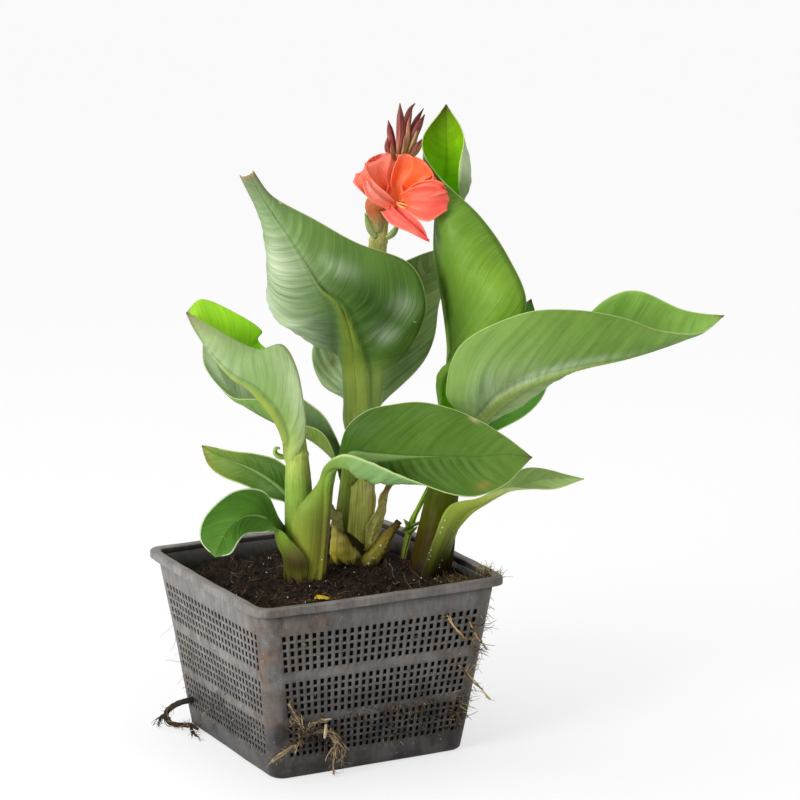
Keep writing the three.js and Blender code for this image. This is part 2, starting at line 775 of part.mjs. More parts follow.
const BUDS = [
  { line: [[63, 16, 389], [60, 16, 401], [58, 17, 414]], girth: 2.6 },
  { line: [[60, 14, 388], [56, 14, 395], [55, 13, 403]], girth: 2 },
  { line: [[63, 12, 390], [63, 9, 407], [62, 8, 426]], girth: 3 },
  { line: [[67, 14, 389], [69, 13, 407], [72, 13, 420], [75, 11, 425]], girth: 3 },
  { line: [[69, 15, 389], [76, 15, 409], [83, 14, 421]], girth: 2.2 },
  { line: [[67, 12, 389], [73, 8, 405], [79, 5, 418]], girth: 3 },
  { line: [[68, 12, 387], [72, 8, 393], [76, 3, 402]], girth: 2.6 },
];
const BUD_SHAPE = [0.5, 0.85, 1, 0.8, 0.12]; // share of the girth, from foot to tip
const SPIKE = { line: [[63.5, 15, 387], [66, 14, 392], [68, 13, 398]], radii: [3, 4.2, 2.5] };

function flower() {
  const petals = Object.values(PETALS).map((petal) =>
    blade({ ...petal, swell: [-2.5, -2.5], rows: 5, columns: 3 }),
  );
  const tube = bar(CALYX.line, CALYX.radii, 8, 6);
  return mainBody(wasm.Manifold.union([tube, ...petals]).subtract(shootSolid("centre", GAP)));
}

function budSpike() {
  const buds = BUDS.map(({ line, girth }) => bar(line, BUD_SHAPE.map((k) => k * girth), 5, 5));
  const core = bar(SPIKE.line, SPIKE.radii, 6, 3);
  return mainBody(wasm.Manifold.union([core, ...buds]).subtract(shootSolid("centre", GAP)));
}

// ---------------------------------------------------------------- roots and straw

// Roots and straw that have grown or slipped out through openings of the mesh. Each piece sets out from
// the inner end of an opening of its own and runs straight through it.
const FRONT = 0;
const LEFT = 3;
const outOf = (side, row, column) => [
  openingAt(side, row, column, -BASKET.wall),
  openingAt(side, row, column, 3),
];
const STRANDS = {
  root_loop: [
    {
      line: [
        ...outOf(LEFT, 5, 0),
        [-82, 60, 18],
        [-88, 66, 11],
        [-86, 64, 4],
        [-80, 57, 3],
        [-77, 49, 5],
        [-75.5, 42, 4],
      ],
      radius: 1.3,
    },
    { line: [[-88, 66, 11], [-92, 68, 6], [-94, 66, 2]], radius: 0.9 },
    { line: [[-77, 49, 5], [-80, 40, 3], [-79, 32, 1.6]], radius: 0.9 },
  ],
  roots_front: [
    { line: [...outOf(FRONT, 4, 0), [-58, -82, 30], [-66, -82, 26], [-80, -81, 17]], radius: 1.2 },
    { line: [[-58, -82, 30], [-62, -86, 44], [-66, -86, 60]], radius: 1 },
    { line: [[-55, -79, 32], [-48, -82, 40], [-40, -84, 40]], radius: 1 },
    { line: [[-56, -79, 32], [-40, -82, 33], [-31, -82, 26], [-33, -80, 14], [-32, -78, 2]], radius: 1.1 },
    { line: [[-40, -82, 33], [-29, -81, 22], [-26, -79, 8]], radius: 0.9 },
  ],
  straw_high: [{ line: [...outOf(FRONT, 1, 8), [51, -87, 94], [43, -88, 106]], radius: 0.9 }],
  straw_edge: [{ line: [...outOf(FRONT, 0, 8), [66, -88, 90], [78, -89, 76]], radius: 0.9 }],
  straw_low: [{ line: [...outOf(FRONT, 2, 8), [64, -83, 58], [80, -87, 38]], radius: 0.9 }],
};

function strand(pieces) {
  const bars = pieces.map(({ line, radius }) => bar(line, [radius, radius * 0.6], 5, 2 * line.length));
  return mainBody(wasm.Manifold.union(bars));
}

// A fallen yellow petal scrap on the soil.
const SCRAP = {
  stations: [
    [[-31, -49, 113.4], [-32, -51, 113.4], [-30, -53, 113.4]],
    [[-28, -48, 114.4], [-28, -51, 114], [-28, -54, 113.4]],
    [[-24, -51, 114], [-24, -54, 113.6], [-24, -57, 113.4]],
  ],
};

// ---------------------------------------------------------------- assembly

const plant = new THREE.Group();

function place(name, solid, colour, roughness = 0.6) {
  const material = new THREE.MeshStandardMaterial({ color: colour, roughness, metalness: 0 });
  const mesh = new THREE.Mesh(geometryOf(solid), material);
  mesh.name = name;
  plant.add(mesh);
}

// Everything under the soil's surface, as a block to cut the feet of leaves and sheaths with.
const underground = solidOf(new THREE.BoxGeometry(180, 180, 100).translate(0, 0, SOIL.level + GAP - 50));

place("basket", basket(), COLOURS.basket);
place("soil", soil(), COLOURS.soil);
place("rhizome", rhizome(), COLOURS.rhizome);
for (const name of Object.keys(SHOOTS)) place("shoot_" + name, shoot(name), COLOURS.shoot);
place("cut_stub", stub(), COLOURS.oldSheath);
for (const [name, spec] of Object.entries(LEAVES)) {
  let leaf = blade(spec).subtract(shootSolid(spec.shoot, GAP));
  if (name !== "right_back") leaf = leaf.subtract(underground);
  place("leaf_" + name, mainBody(leaf), COLOURS.leaf);
}
for (const [name, spec] of Object.entries(SHEATHS)) {
  const skin = blade({ ...spec, rows: 5, columns: 3 });
  const sheath = skin.subtract(shootSolid("centre", GAP)).subtract(stubSolid(GAP));
  place("sheath_" + name, mainBody(sheath), name === "dry" ? COLOURS.drySheath : COLOURS.oldSheath);
}
place("flower", flower(), COLOURS.flower);
place("bud_spike", budSpike(), COLOURS.bud);
for (const [name, pieces] of Object.entries(STRANDS))
  place(name, strand(pieces), name.startsWith("straw") ? COLOURS.straw : COLOURS.root);
place("petal_scrap", blade({ ...SCRAP, rows: 3, columns: 2, thickness: 0.8 }), COLOURS.scrap);

export default plant;
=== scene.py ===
"""A dwarf canna lily in a square mesh pond basket, on a pale floor under soft studio light."""
import math
from types import SimpleNamespace

import bpy
import numpy as np
from mathutils import Matrix, Vector


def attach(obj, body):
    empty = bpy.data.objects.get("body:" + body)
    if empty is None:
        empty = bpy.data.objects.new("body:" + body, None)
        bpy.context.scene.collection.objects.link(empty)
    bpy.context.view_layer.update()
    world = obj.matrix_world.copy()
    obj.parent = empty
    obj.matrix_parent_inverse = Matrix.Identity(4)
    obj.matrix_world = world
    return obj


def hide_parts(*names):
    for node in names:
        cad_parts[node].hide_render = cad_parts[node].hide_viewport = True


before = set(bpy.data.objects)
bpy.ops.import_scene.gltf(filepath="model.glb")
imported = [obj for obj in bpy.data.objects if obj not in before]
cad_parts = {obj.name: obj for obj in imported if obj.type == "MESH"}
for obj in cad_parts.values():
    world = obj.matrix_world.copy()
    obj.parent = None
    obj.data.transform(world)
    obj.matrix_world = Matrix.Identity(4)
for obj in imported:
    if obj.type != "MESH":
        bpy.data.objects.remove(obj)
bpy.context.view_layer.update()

MM = 0.001  # every size below is in millimetres

# ---------------------------------------------------------------- the plant's sizes

BASKET = {
    "rim_half": 91,
    "height": 122,
    "foot_half": 70,
    "wall": 1.8,
    "web": 1.0,  # the wall between the openings
    "floor": 2.4,
    "rim_reach": 4.4,
    "corner": 9,
    "bow": 1.6,  # the long walls bulge a little at the mouth
}
MOUTH_HALF = BASKET["rim_half"] - BASKET["rim_reach"]
RIM = [  # the rolled rim's profile: how far out from the mouth, and the height
    (-1.8, 116), (-1.8, 121), (-1.3, 121.8), (-0.4, 122), (3.2, 122), (3.9, 121.8), (4.3, 121.3),
    (4.4, 120.6), (4.4, 117.4), (4.2, 116.8), (3.7, 116.5), (3.1, 116.7), (2.9, 117.4), (2.7, 119.3),
    (2.0, 120.2), (0.6, 120.3), (0.0, 119.8), (0.0, 116),
]
ARC = 6  # steps round each corner
MESH_BANDS = [(15, 38), (43, 69), (75, 102)]
BAND_EDGE = 1.5
MESH_ROWS = 5
MESH_COLUMNS = 27
HOLE_WIDE = 0.52  # of each mesh cell
HOLE_TALL = 0.66

SOIL_LEVEL = 112.5
SOIL_FALL = 5
SOIL_LUMP = 2
HEAP = {"at": (76, -66), "height": 9, "reach": 30}
MOUND = 3.5  # the soil is drawn up against these feet
MOUNDED = [(-20, -12), (31, 10), (64, -30), (54, -10)]
STUCK = [("right_low", 0), ("left_front", 0), ("right_low", 1)]  # where perlite clings to a leaf's foot
FEET = [(-18, -5), (-16, -24), (33, 18), (36, 4), (66, -25), (-28, -51)]

MUD = {"colour": "2a1808", "height": 7.5, "ragged": 2.5, "strength": 0.9}  # on the feet of leaves and shoots

FACING = math.radians(-118)  # the side that the camera sees, from above
FOOT_SINK = 2.5  # how far a leaf's foot runs into its shoot
FOOT_DROP = 5  # and how far below its first station it starts
SOIL_DROP = 7  # the same for a foot in the soil
RING_WIDTH = 1.4  # of a joint's ring on a shoot
LEAST_HALF = 0.6  # a blade's half is nowhere narrower
WRAP_RADIUS = 14  # of a sheath's fibres and torn edge

SHOOTS = {
    "left": {
        "line": [(-18, -7, 88), (-18, -5, 112), (-20, -4, 165), (-21, -3, 216)],
        "radii": [11.5, 12.5, 10, 8.5, 5.5],
        "colours": ["4a2e16", "5c441c", "6e7a28", "7f9c3a", "8cac48", "92b24e", "bccc6a", "a8be5c"],
        "rings": [(199, 0.7)],
    },
    "centre": {
        "line": [
            (31, 20, 88), (33, 20, 140), (38, 18, 215), (44, 17, 273), (51, 18, 334), (57, 18, 361),
            (64, 15, 386),
        ],
        "radii": [14, 14, 11.5, 9, 7.8, 7.6, 7, 4.6, 2],
        "colours": ["5d4a22", "4c4418", "8a9c40", "88a448", "90ac58", "d8e48c", "ffffa8", "fff8a4", "e0b880"],
        "rings": [(262, 0.5), (334, 0.8)],
    },
    "right": {
        "line": [(58, -23, 88), (68, -26, 120), (77, -28, 172), (89, -33, 212)],
        "radii": [12, 14, 12, 9, 5],
        "colours": ["241a04", "342602", "423800", "565e0c", "6c7e24", "8c9e40"],
        "rings": [],
    },
}
BRACTS = [
    [(47, 14, 337), (44, 15, 342), (42, 16, 348), (40.5, 17, 353)],
    [(54.5, 12, 336), (57, 10, 338.5), (59, 9, 341.5), (60.5, 8, 346)],
]
EAR = [(-26.5, 0.2, 197), (-31, 2.5, 197.5), (-33.5, 3.6, 200), (-33, 3.4, 203), (-30.8, 2, 203)]
NODE_SCALES = [  # round the thin stem's joint
    [(57, -6, 138), (60, -8, 141), (66, -10, 143), (71, -11, 146)],
    [(62, -7, 139), (59, -9, 143), (56, -9, 147)],
    [(60, -7, 136), (64, -9, 139), (66, -10, 141)],
]
GROWTHS = {  # small growths on each shoot: lines, radii, colours, sides, steps, flatness and first seed
    "left": ([EAR], [1.8, 3.2, 3.2, 2.6, 1.4], ["8fae4c", "9cb85c", "a8c46c"], 16, 30, 0.5, 3),
    "centre": (BRACTS, [2.4, 3, 2.4, 0.4], ["f0f4b4", "c4d88c", "94b464"], 16, 24, 0.55, 0),
    "right": (NODE_SCALES, [1.2, 1.9, 1.4, 0.3], ["6a7c2c", "7f9a3c", "8aa044"], 12, 24, 0.6, 0),
}
FLAP = {  # torn, beside the centre shoot
    "torn": 0.8, "relief": 0.3, "spacing": 3,
    "colours": ["c0b868", "dcdc90", "e0e09c", "b09c60"],
    "stations": [
        [(21, 11, 138), (20, 12, 138), (18, 13, 138), -0.5, -0.5],
        [(19, 10, 146), (16, 12, 147), (13, 14, 147), -0.7, -0.7],
        [(19, 9, 151), (14, 12, 153), (9, 15, 153), -0.7, -0.7],
        [(17, 9, 154), (13, 12, 156), (9, 15, 155), -0.7, -0.7],
    ],
}
STUB = {
    "line": [(25, 6, 98), (31, 5, 111), (40, 3, 121), (49, 2, 133), (58, 1, 143)],
    "radii": [6, 7, 5.4, 3.8, 2],
    "colours": ["8c6428", "a88438", "b8b04e", "ccc45e", "b09c48", "4c3320"],
}

# A blade's stations run from its foot to its tip. Each is the left margin, the rib and the right margin,
# seen from above with the tip ahead, then how far the left and the right half swell toward the upper side,
# and how far the rib stands out underneath. A patch is a side, its place along and across (-1 at the left
# margin, 1 at the right), its two sizes, its colour and its strength; a bloom patch lays a pale waxy bloom
# with painted sheen on it. Pleats are the half they lie on, their height, step and reach from the rib, and
# where they start and end; the grooves between them are darkened with painted shade.
LEAVES = {
    "left_top": {
        "shoot": "left", "blade_from": 0.6, "foot": "shoot", "relief": 0.5, "spacing": 9, "flutter": 0.8,
        "under": ["a8bc5c", "a4bc62", "88a65e", "7f9e5a", "86a262", "94a870", "96906c"],
        "upper": ["6ba52a", "80c421", "94de1c", "a8ec24", "acea30", "acdf44"],
        "rib": "98a43a",
        "stations": [
            [(-22, -11, 202), (-28, -2, 198), (-19, 3, 199), -3, -3, 2],
            [(-19, -13, 215), (-29, -4, 211), (-14, 5, 212), -3, -4, 3],
            [(-21, -14, 238), (-37, -4, 229), (-12, 13, 237), -4, -6, 3.5],
            [(-24, -11, 259), (-49, 4, 245), (-17, 23, 256), -5, -8, 3],
            [(-31, -4, 274), (-59, 11, 252), (-30, 34, 269), -5, -9, 2],
            [(-44, 5, 271), (-66, 19, 261), (-29, 32, 277), -4, -7, 1.5],
            [(-56, 15, 276), (-72, 27, 272), (-43, 36, 288), -3, -5, 1],
            [(-68, 27, 284), (-77, 34, 283), (-67, 42, 300), -1, -2, 0.8],
            [(-79, 42, 292), (-79, 42, 292), (-79, 42, 292), 0, 0, 0.5],
        ],
        "patches": [
            ("under", 0.42, 0.2, 0.12, 0.3, "6f9a44", 0.6),
            ("under", 0.35, -0.9, 0.18, 0.32, "e8f8c8", 0.6),
            # pale bloom with painted sheen on it
            ("under", 0.66, 0.3, 0.16, 0.5, "bloom", 0.5),
            ("upper", 0.7, 0.6, 0.06, 0.6, "6fae12", 0.5),
            ("under", 0.15, 0.0, 0.06, 0.12, "7d5a22", 0.7),
            ("under", 0.3, 0.05, 0.03, 0.08, "7d6a28", 0.6),
            ("both", 1.0, 0.0, 0.035, 2, "7d5f50", 0.9),
        ],
    },
    "left_front": {
        "shoot": "left", "blade_from": 4, "foot": "soil", "relief": 1.0, "spacing": 9, "flutter": 0.6,
        "rows": 190, "pleats": (1, 1.7, 6.5, 16, 0.5, 0.75),
        "under": [
            "9c8a2c", "acac40", "8ca03a", "7e9a34", "84a44c", "8aac66", "8ab072", "8cb375", "8ab272",
            "86ae6e", "7aa45e",
        ],
        "upper": [
            "6a842c", "688a2e", "5a842c", "40681a", "345a0a", "3c5e12", "4a6c1e", "507222", "527426",
            "5a7a2c", "648236",
        ],
        "rib": "a3bd5c",
        "stations": [
            [(-4, -4, 112), (-12, -18, 112), (-28, -14, 112), -3, -3, 1.5],
            [(-4, -9, 144), (-9, -19, 143), (-30, -13, 143), -3, -4, 1.5],
            [(-4, -14, 166), (-9, -23, 166), (-28, -14, 162), -3, -4, 2],
            [(-3, -21, 183), (-10, -28, 182), (-16, -22, 182), -2, -2, 2.5],
            [(-2, -25, 198), (-9, -35, 196), (-16, -36, 198), -2, -3, 3],
            [(1, -32, 219), (-3, -46, 206), (-13, -56, 209), -2, -11, 3],
            [(12, -40, 232), (7, -54, 206), (-2, -69, 206), -2, -15, 2.5],
            [(26, -50, 237), (19, -64, 206), (10, -80, 200), -2, -15, 2],
            [(41, -60, 239), (34, -74, 206), (24, -92, 193), -2, -9, 1.5],
            [(56, -73, 236), (49, -85, 207), (40, -101, 187), -2, -5, 1],
            [(72, -85, 228), (65, -95, 207), (58, -107, 184), -2, -2, 0.8],
            [(85, -99, 218), (80, -105, 209), (76, -112, 191), -1, -1, 0.6],
            [(95, -113, 207), (95, -113, 207), (95, -113, 207), 0, 0, 0.5],
        ],
        "patches": [
            ("under", 0.17, -0.1, 0.07, 0.5, "7d5c3c", 0.45),
            ("under", 0.075, 0.6, 0.02, 0.8, "6a4a1c", 0.4),
            ("upper", 0.86, 0.75, 0.02, 0.1, "9a7b3c", 0.6),
            ("upper", 0.83, -0.97, 0.012, 0.06, "c9b88a", 0.8),
            ("both", 1.0, 0.0, 0.02, 2, "6b4a3c", 0.9),
        ],
    },
    "left_low": {
        "shoot": "left", "blade_from": 3.4, "foot": "soil", "relief": 0.4, "spacing": 7, "flutter": 0.5,
        "under": ["4a3c12", "74782a", "88a83a", "8ab04c", "86b05a", "86b05a"],
        "upper": ["8f9a3c", "b4c67a", "7a9a48", "4c7a26", "46741e", "4a7822", "5c8434"],
        "rib": "b7c98a",
        "margin": "d6e0c4", "margin_width": 1.1,
        "stations": [
            [(-23, -21, 112), (-31, -11, 112), (-21, 8, 112), -2, -3, 1],
            [(-22, -21, 130), (-33, -12, 129), (-23, 7, 130), -3, -3, 1.2],
            [(-33, -19, 145), (-38, -10, 141), (-27, 1, 147), -2, -3, 1.2],
            [(-41, -17, 153), (-41, -10, 155), (-35, -4, 158), -1, -2, 1.6],
            [(-51, -16, 152), (-51, -12, 162), (-46, -5, 177), -1, -2, 1.4],
            [(-65, -18, 153), (-64, -14, 164), (-67, -3, 179), -1, -2, 1],
            [(-73, -23, 150), (-77, -17, 158), (-88, -5, 166), -1, -2, 0.8],
            [(-80, -25, 143), (-86, -20, 147), (-95, -11, 152), -1, -1, 0.6],
            [(-89, -21, 141.5), (-89, -21, 141.5), (-89, -21, 141.5), 0, 0, 0.5],
        ],
        "patches": [
            ("both", 0.12, 0.0, 0.04, 2, "644c10", 0.7),
            ("both", 0.22, -0.5, 0.055, 0.9, "2c2206", 0.9),
            ("under", 0.26, -0.6, 0.05, 0.5, "6f5a3c", 0.5),
        ],
    },
    "left_back": {
        "shoot": "left", "blade_from": 0.5, "foot": "shoot", "relief": 0.4, "spacing": 7, "flutter": 0.6,
        "under": ["3c5c10", "3c5e10", "42661a", "5a7c28", "7f9c44", "9ca858"],
        "upper": ["3a5c10", "3a5e10", "40661a", "587828", "7c9840", "9ca858"],
        "rib": "8fb04a",
        "stations": [
            [(-25, 4, 156), (-19, 8, 155), (-15, 6, 157), -1, -1, 1],
            [(-25, 6, 164), (-21, 11, 167), (-16, 15, 180), -2, -2, 1.6],
            [(-31, 18, 166), (-28, 21, 176), (-21, 25, 189), -2, -3, 1.4],
            [(-41, 33, 172), (-37, 35, 183), (-31, 38, 192), -2, -2, 1],
            [(-53, 46, 177), (-48, 48, 188), (-43, 49, 193), -2, -2, 0.8],
            [(-59, 56, 184), (-56, 56, 192), (-55, 57, 195), -1, -1, 0.6],
            [(-61, 61, 196), (-61, 61, 196), (-61, 61, 196), 0, 0, 0.5],
        ],
        "patches": [
            ("both", 0.85, -0.8, 0.07, 0.3, "b0904a", 0.3),
            ("both", 1.0, 0.0, 0.03, 2, "5d3b2c", 0.9),
        ],
    },
    "centre_front": {
        "shoot": "centre", "blade_from": 2.3, "foot": "shoot", "relief": 0.6, "spacing": 8, "flutter": 0.7,
        "rows": 170, "rib_half": [6, 6.5, 7, 7, 5.4, 3.2, 1.5, 0.9, 0.6, 0.5, 0.4],
        "under": [
            "aac268", "a8c06c", "9ab45a", "4e7424", "4a6e20", "517626", "5f8238", "6b8c44", "74905a",
            "808868",
        ],
        "upper": ["5f9a3a", "5a9636", "559232", "559232", "5a9638", "6ba24c"],
        "rib": "7e8e2c", "margin": "cfd888", "margin_width": 0.9,
        "stations": [
            [(44, 8, 215), (29, 7, 212), (26, 20, 214), -4, -4, 3],
            [(47, 0, 245), (28, 5, 240), (26, 18, 241), -3, -4, 5],
            [(52, -7, 255), (26, 3, 256), (25, 17, 257), -4, -5, 5],
            [(61, -18, 274), (23, 2, 271), (7, 32, 271), -5, -14, 4.5],
            [(64, -25, 298), (12, -2, 297), (-15, 41, 285), -6, -19, 3.5],
            [(53, -22, 324), (-2, -1, 310), (-19, 44, 302), -6, -20, 2.5],
            [(19, -12, 339), (-13, 0, 327), (-20, 38, 318), -4, -16, 1.5],
            [(-6, -3, 354), (-24, 4, 346), (-24, 28, 338), -3, -10, 1],
            [(-29, 11, 370), (-35, 11, 365), (-36, 23, 361), -2, -4, 0.8],
            [(-41, 19, 386), (-45, 16, 384), (-48, 23, 383.5), -2.5, -2.5, 0.5],
        ],
        "patches": [
            # pale bloom with painted sheen on the belly, and a painted highlight there
            ("under", 0.53, 0.75, 0.18, 0.42, "bloom", 1.1),
            ("under", 0.53, 0.85, 0.13, 0.35, "cce0b4", 0.7),
            ("under", 0.72, 0.4, 0.14, 0.4, "bloom", 0.85),
            ("under", 0.66, -0.35, 0.05, 0.2, "bloom", 0.35),
            ("under", 0.5, -0.75, 0.04, 0.15, "bloom", 0.3),
            ("under", 0.42, -0.5, 0.03, 0.2, "bloom", 0.35),
            # painted shade on both sides of the lower rib
            ("under", 0.45, 0.25, 0.1, 0.2, "33541a", 0.75),
            ("under", 0.5, -0.38, 0.14, 0.32, "2a4612", 0.85),
            ("both", 1.0, 0.0, 0.015, 2, "a98a64", 0.95),
        ],
    },
    "centre_back": {
        "shoot": "centre", "blade_from": 1.2, "foot": "shoot", "relief": 0.8, "spacing": 8, "flutter": 0.6,
        "banding": 1.0,
        "under": ["a8bc78", "b4c88a", "b0c686", "aac27e", "a8be7e", "a8c082"],
        "upper": ["acc286", "a8c082", "a4be7e", "a6c07e", "acc484", "b0c68a"],
        "rib": "9ab070",
        "stations": [
            [(37, 28, 210), (45, 28, 207), (49, 22, 212), -1, -1, 1],
            [(36, 38, 222), (50, 34, 223), (61, 24, 224), -2, -2, 2],
            [(23, 49, 233), (57, 40, 244), (81, 21, 241), -4, -4, 2],
            [(19, 53, 257), (68, 43, 266), (95, 20, 263), -5, -4, 1.5],
            [(38, 50, 289), (82, 43, 287), (101, 24, 286), -5, -4, 1],
            [(76, 41, 312), (99, 38, 305), (110, 28, 306), -3, -2, 0.8],
            [(115, 30, 324), (115, 30, 324), (115, 30, 324), 0, 0, 0.5],
        ],
        "patches": [
            ("both", 0.42, 0.6, 0.1, 0.35, "4c6c34", 0.5),
            # a pale patch of painted light on the left half, which lies in shade; the bloom after it carries
            # painted sheen
            ("both", 0.35, -0.75, 0.3, 0.5, "e4f4cc", 0.7),
            ("both", 0.6, -0.1, 0.12, 0.4, "bloom", 0.3),
            ("both", 0.5, -0.7, 0.02, 0.06, "8a6a2c", 0.7),
        ],
    },
    "centre_low": {
        "shoot": "centre", "blade_from": 0.7, "foot": "shoot", "relief": 0.5, "spacing": 8, "flutter": 0.6,
        "under": ["86a048", "7e9444", "7c9840", "7ca050", "84a860", "8cac6c"],
        "upper": ["5c7c40", "587840", "688450", "849c6c", "a8c090", "b8cca4"],
        "rib": "9aa860",
        "stations": [
            [(27, 31, 170), (34, 34, 167), (37, 35, 173), -1, -1, 1],
            [(25, 34, 188), (29, 39, 181), (34, 41, 188), -2, -2, 1.6],
            [(18, 40, 202), (18, 50, 194), (28, 53, 208), -3, -4, 1.8],
            [(2, 51, 209), (2, 60, 203), (17, 68, 220), -3, -5, 1.5],
            [(-14, 64, 222), (-14, 71, 212), (3, 80, 233), -3, -5, 1],
            [(-33, 76, 225), (-27, 80, 223), (-12, 88, 247), -2, -4, 0.8],
            [(-46, 87, 245), (-37, 87, 244), (-26, 91, 260), -1, -2, 0.6],
            [(-44, 93, 271), (-44, 93, 271), (-44, 93, 271), 0, 0, 0.5],
        ],
        "patches": [("both", 1.0, 0.0, 0.02, 2, "6b4a3c", 0.9)],
    },
    "right_tall": {
        "shoot": "right", "blade_from": 1.7, "foot": "shoot", "relief": 0.6, "spacing": 9, "flutter": 0.6,
        "rows": 170,
        "under": [
            "708a40", "42602a", "42641f", "466c1e", "5a8226", "66892a", "628a2e", "688e38", "7c9a4c",
            "6f5a3a",
        ],
        "upper": ["80c404", "84c804", "98dc00", "9ce000", "a4e400", "587010"],
        "rib": "8fae54",
        "stations": [
            [(80, -26, 183), (90, -18, 179), (92, -26, 186), -3, -2, 1],
            [(80, -19, 218), (89, -13, 213), (92, -21, 220), -4, -3, 2],
            [(80, -26, 249), (90, -11, 240), (103, -16, 242), -8, -4, 3],
            [(106, -58, 271), (90, -13, 264), (123, -17, 264), -12, -6, 3],
            [(117, -66, 298), (88, -8, 294), (131, -17, 292), -14, -8, 2.5],
            [(113, -50, 327), (87, 2, 322), (122, -5, 325), -20, -8, 2],
            [(102, -31, 352), (90, 7, 350), (101, -8, 361), -20, -12, 1.5],
            [(80, -10, 381), (97, 9, 379), (96, -12, 381), -13, -14, 1],
            [(76, 1, 402), (96, 6, 403), (100, -11, 404), -4, -4, 0.6],
            [(93, 1, 424), (93, 1, 424), (93, 1, 424), 0, 0, 0.5],
        ],
        "patches": [
            ("under", 0.5, 0.35, 0.3, 0.3, "3f5a18", 0.6),
            ("under", 0.38, -0.1, 0.12, 0.5, "3a4420", 0.5),
            ("under", 0.45, -0.75, 0.25, 0.3, "94c03c", 0.5),
            ("under", 0.84, 0.8, 0.1, 0.5, "d8e8bc", 0.9),
            ("both", 1.0, 0.0, 0.022, 2, "6f2f2c", 0.95),
        ],
    },
    "right_wide": {
        "shoot": "right", "blade_from": 0.2, "foot": "shoot", "relief": 1.2, "spacing": 9.5, "flutter": 0.5,
        "rows": 170, "gather": 1.1, "rib_half": [3.5, 3.6, 4.6, 4.2, 2.6, 1.6, 1.1, 0.8, 0.5, 0.4],
        "under": ["8a9f4a", "90ae58", "88aa58", "7c9e4a", "749842", "729640", "769a46", "82a258", "8aa466"],
        "upper": ["6a9c48", "6fa040", "7aa844", "84b04a", "88b24e", "8cb054"],
        "rib": "93a83c",
        "stations": [
            [(97, -38, 207), (87, -44, 211), (81, -47, 224), -3, -3, 2],
            [(106, -40, 217), (94, -54, 226), (66, -50, 241), -4, -7, 3],
            [(128, -45, 229), (106, -67, 241), (71, -62, 275), -6, -9, 3.5],
            [(142, -50, 249), (123, -81, 251), (101, -85, 296), -8, -8, 2.5],
            [(157, -62, 277), (145, -95, 259), (130, -100, 299), -10, -6, 2],
            [(171, -78, 299), (170, -107, 265), (159, -113, 294), -10, -5, 1.5],
            [(188, -92, 305), (193, -117, 272), (186, -124, 284), -8, -3, 1],
            [(210, -111, 294), (214, -124, 280), (213, -130, 282), -3, -1, 0.6],
            [(231, -128, 291), (231, -128, 291), (231, -128, 291), 0, 0, 0.5],
        ],
        "patches": [
            # pale bloom with painted sheen on it
            ("under", 0.3, 0.3, 0.1, 0.3, "bloom", 0.35),
            ("under", 0.42, 0.1, 0.2, 0.08, "bloom", 0.75),
            ("under", 0.36, -0.4, 0.16, 0.6, "b4cc8c", 0.7),
            ("under", 0.3, 0.42, 0.04, 0.14, "47722a", 0.6),
            ("under", 0.78, -0.7, 0.12, 0.4, "9cc860", 0.5),
            ("both", 1.0, 0.0, 0.03, 2, "6f3a34", 0.95),
        ],
    },
    "right_low": {
        "shoot": "right", "blade_from": 2.8, "foot": "soil", "relief": 0.4, "spacing": 7, "flutter": 0.5,
        "under": ["241c04", "2c2c08", "a0b444", "b4c050", "c2d68a", "bad686", "b0d07c"],
        "upper": ["6f8434", "87a446", "b6d078", "c4dc90", "bcd888", "b4d080"],
        "rib": "b9c48a",
        "stations": [
            [(75, -30, 117), (63, -42, 114), (51, -42, 115), -3, -3, 1],
            [(77, -40, 143), (68, -49, 139), (56, -52, 144), -3, -3, 1.6],
            [(80, -51, 163), (77, -58, 158), (64, -58, 166), -2, -3, 2],
            [(91, -62, 172), (86, -68, 169), (79, -72, 173), -2, -2, 2],
            [(103, -68, 181), (96, -77, 177), (92, -83, 180), -2, -2, 1.5],
            [(113, -73, 189), (108, -85, 183), (105, -94, 181), -2, -2, 1],
            [(126, -84, 189), (121, -94, 186), (121, -102, 181), -1, -1, 0.6],
            [(139, -105, 186), (139, -105, 186), (139, -105, 186), 0, 0, 0.5],
        ],
        "patches": [
            ("both", 0.13, 0.0, 0.07, 2, "2c2404", 0.9),
            ("under", 0.3, 0.5, 0.12, 0.5, "6a7028", 0.5),
        ],
    },
    "right_back": {
        "shoot": "right", "blade_from": 3.7, "foot": "soil", "relief": 0.4, "spacing": 8, "flutter": 0.5,
        "under": ["4a3418", "706a28", "9cc034", "86b03c", "6ca63e", "68a03c", "68a03c", "72a64c"],
        "upper": ["4a3418", "706a28", "9cc034", "82b23e", "6aa440", "629c3c", "68a442", "76a852"],
        "rib": "9ab54a",
        "stations": [
            [(52, -7, 107), (53, -8, 107), (55, -8, 107), -0.5, -0.5, 1.2],
            [(61, -5, 141), (63, -7, 141), (65, -7, 141), -0.5, -0.5, 1.2],
            [(69, -4, 154), (70, -6, 155), (72, -6, 154), -0.5, -0.5, 1.2],
            [(82, -3, 175), (84, -4, 174), (86, -5, 174), -0.5, -0.5, 1.5],
            [(94, -4, 198), (104, -3, 195), (109, -10, 194), -2, -2, 1.5],
            [(97, -1, 222), (122, -3, 218), (143, -21, 212), -5, -5, 1.2],
            [(110, 1, 250), (135, -3, 241), (160, -23, 234), -5, -5, 1],
            [(129, -2, 273), (146, -5, 265), (159, -16, 263), -3, -3, 0.8],
            [(155, -7, 289), (155, -7, 289), (155, -7, 289), 0, 0, 0.5],
        ],
        "patches": [("both", 1.0, 0.0, 0.02, 2, "6b4a3c", 0.9)],
    },
}

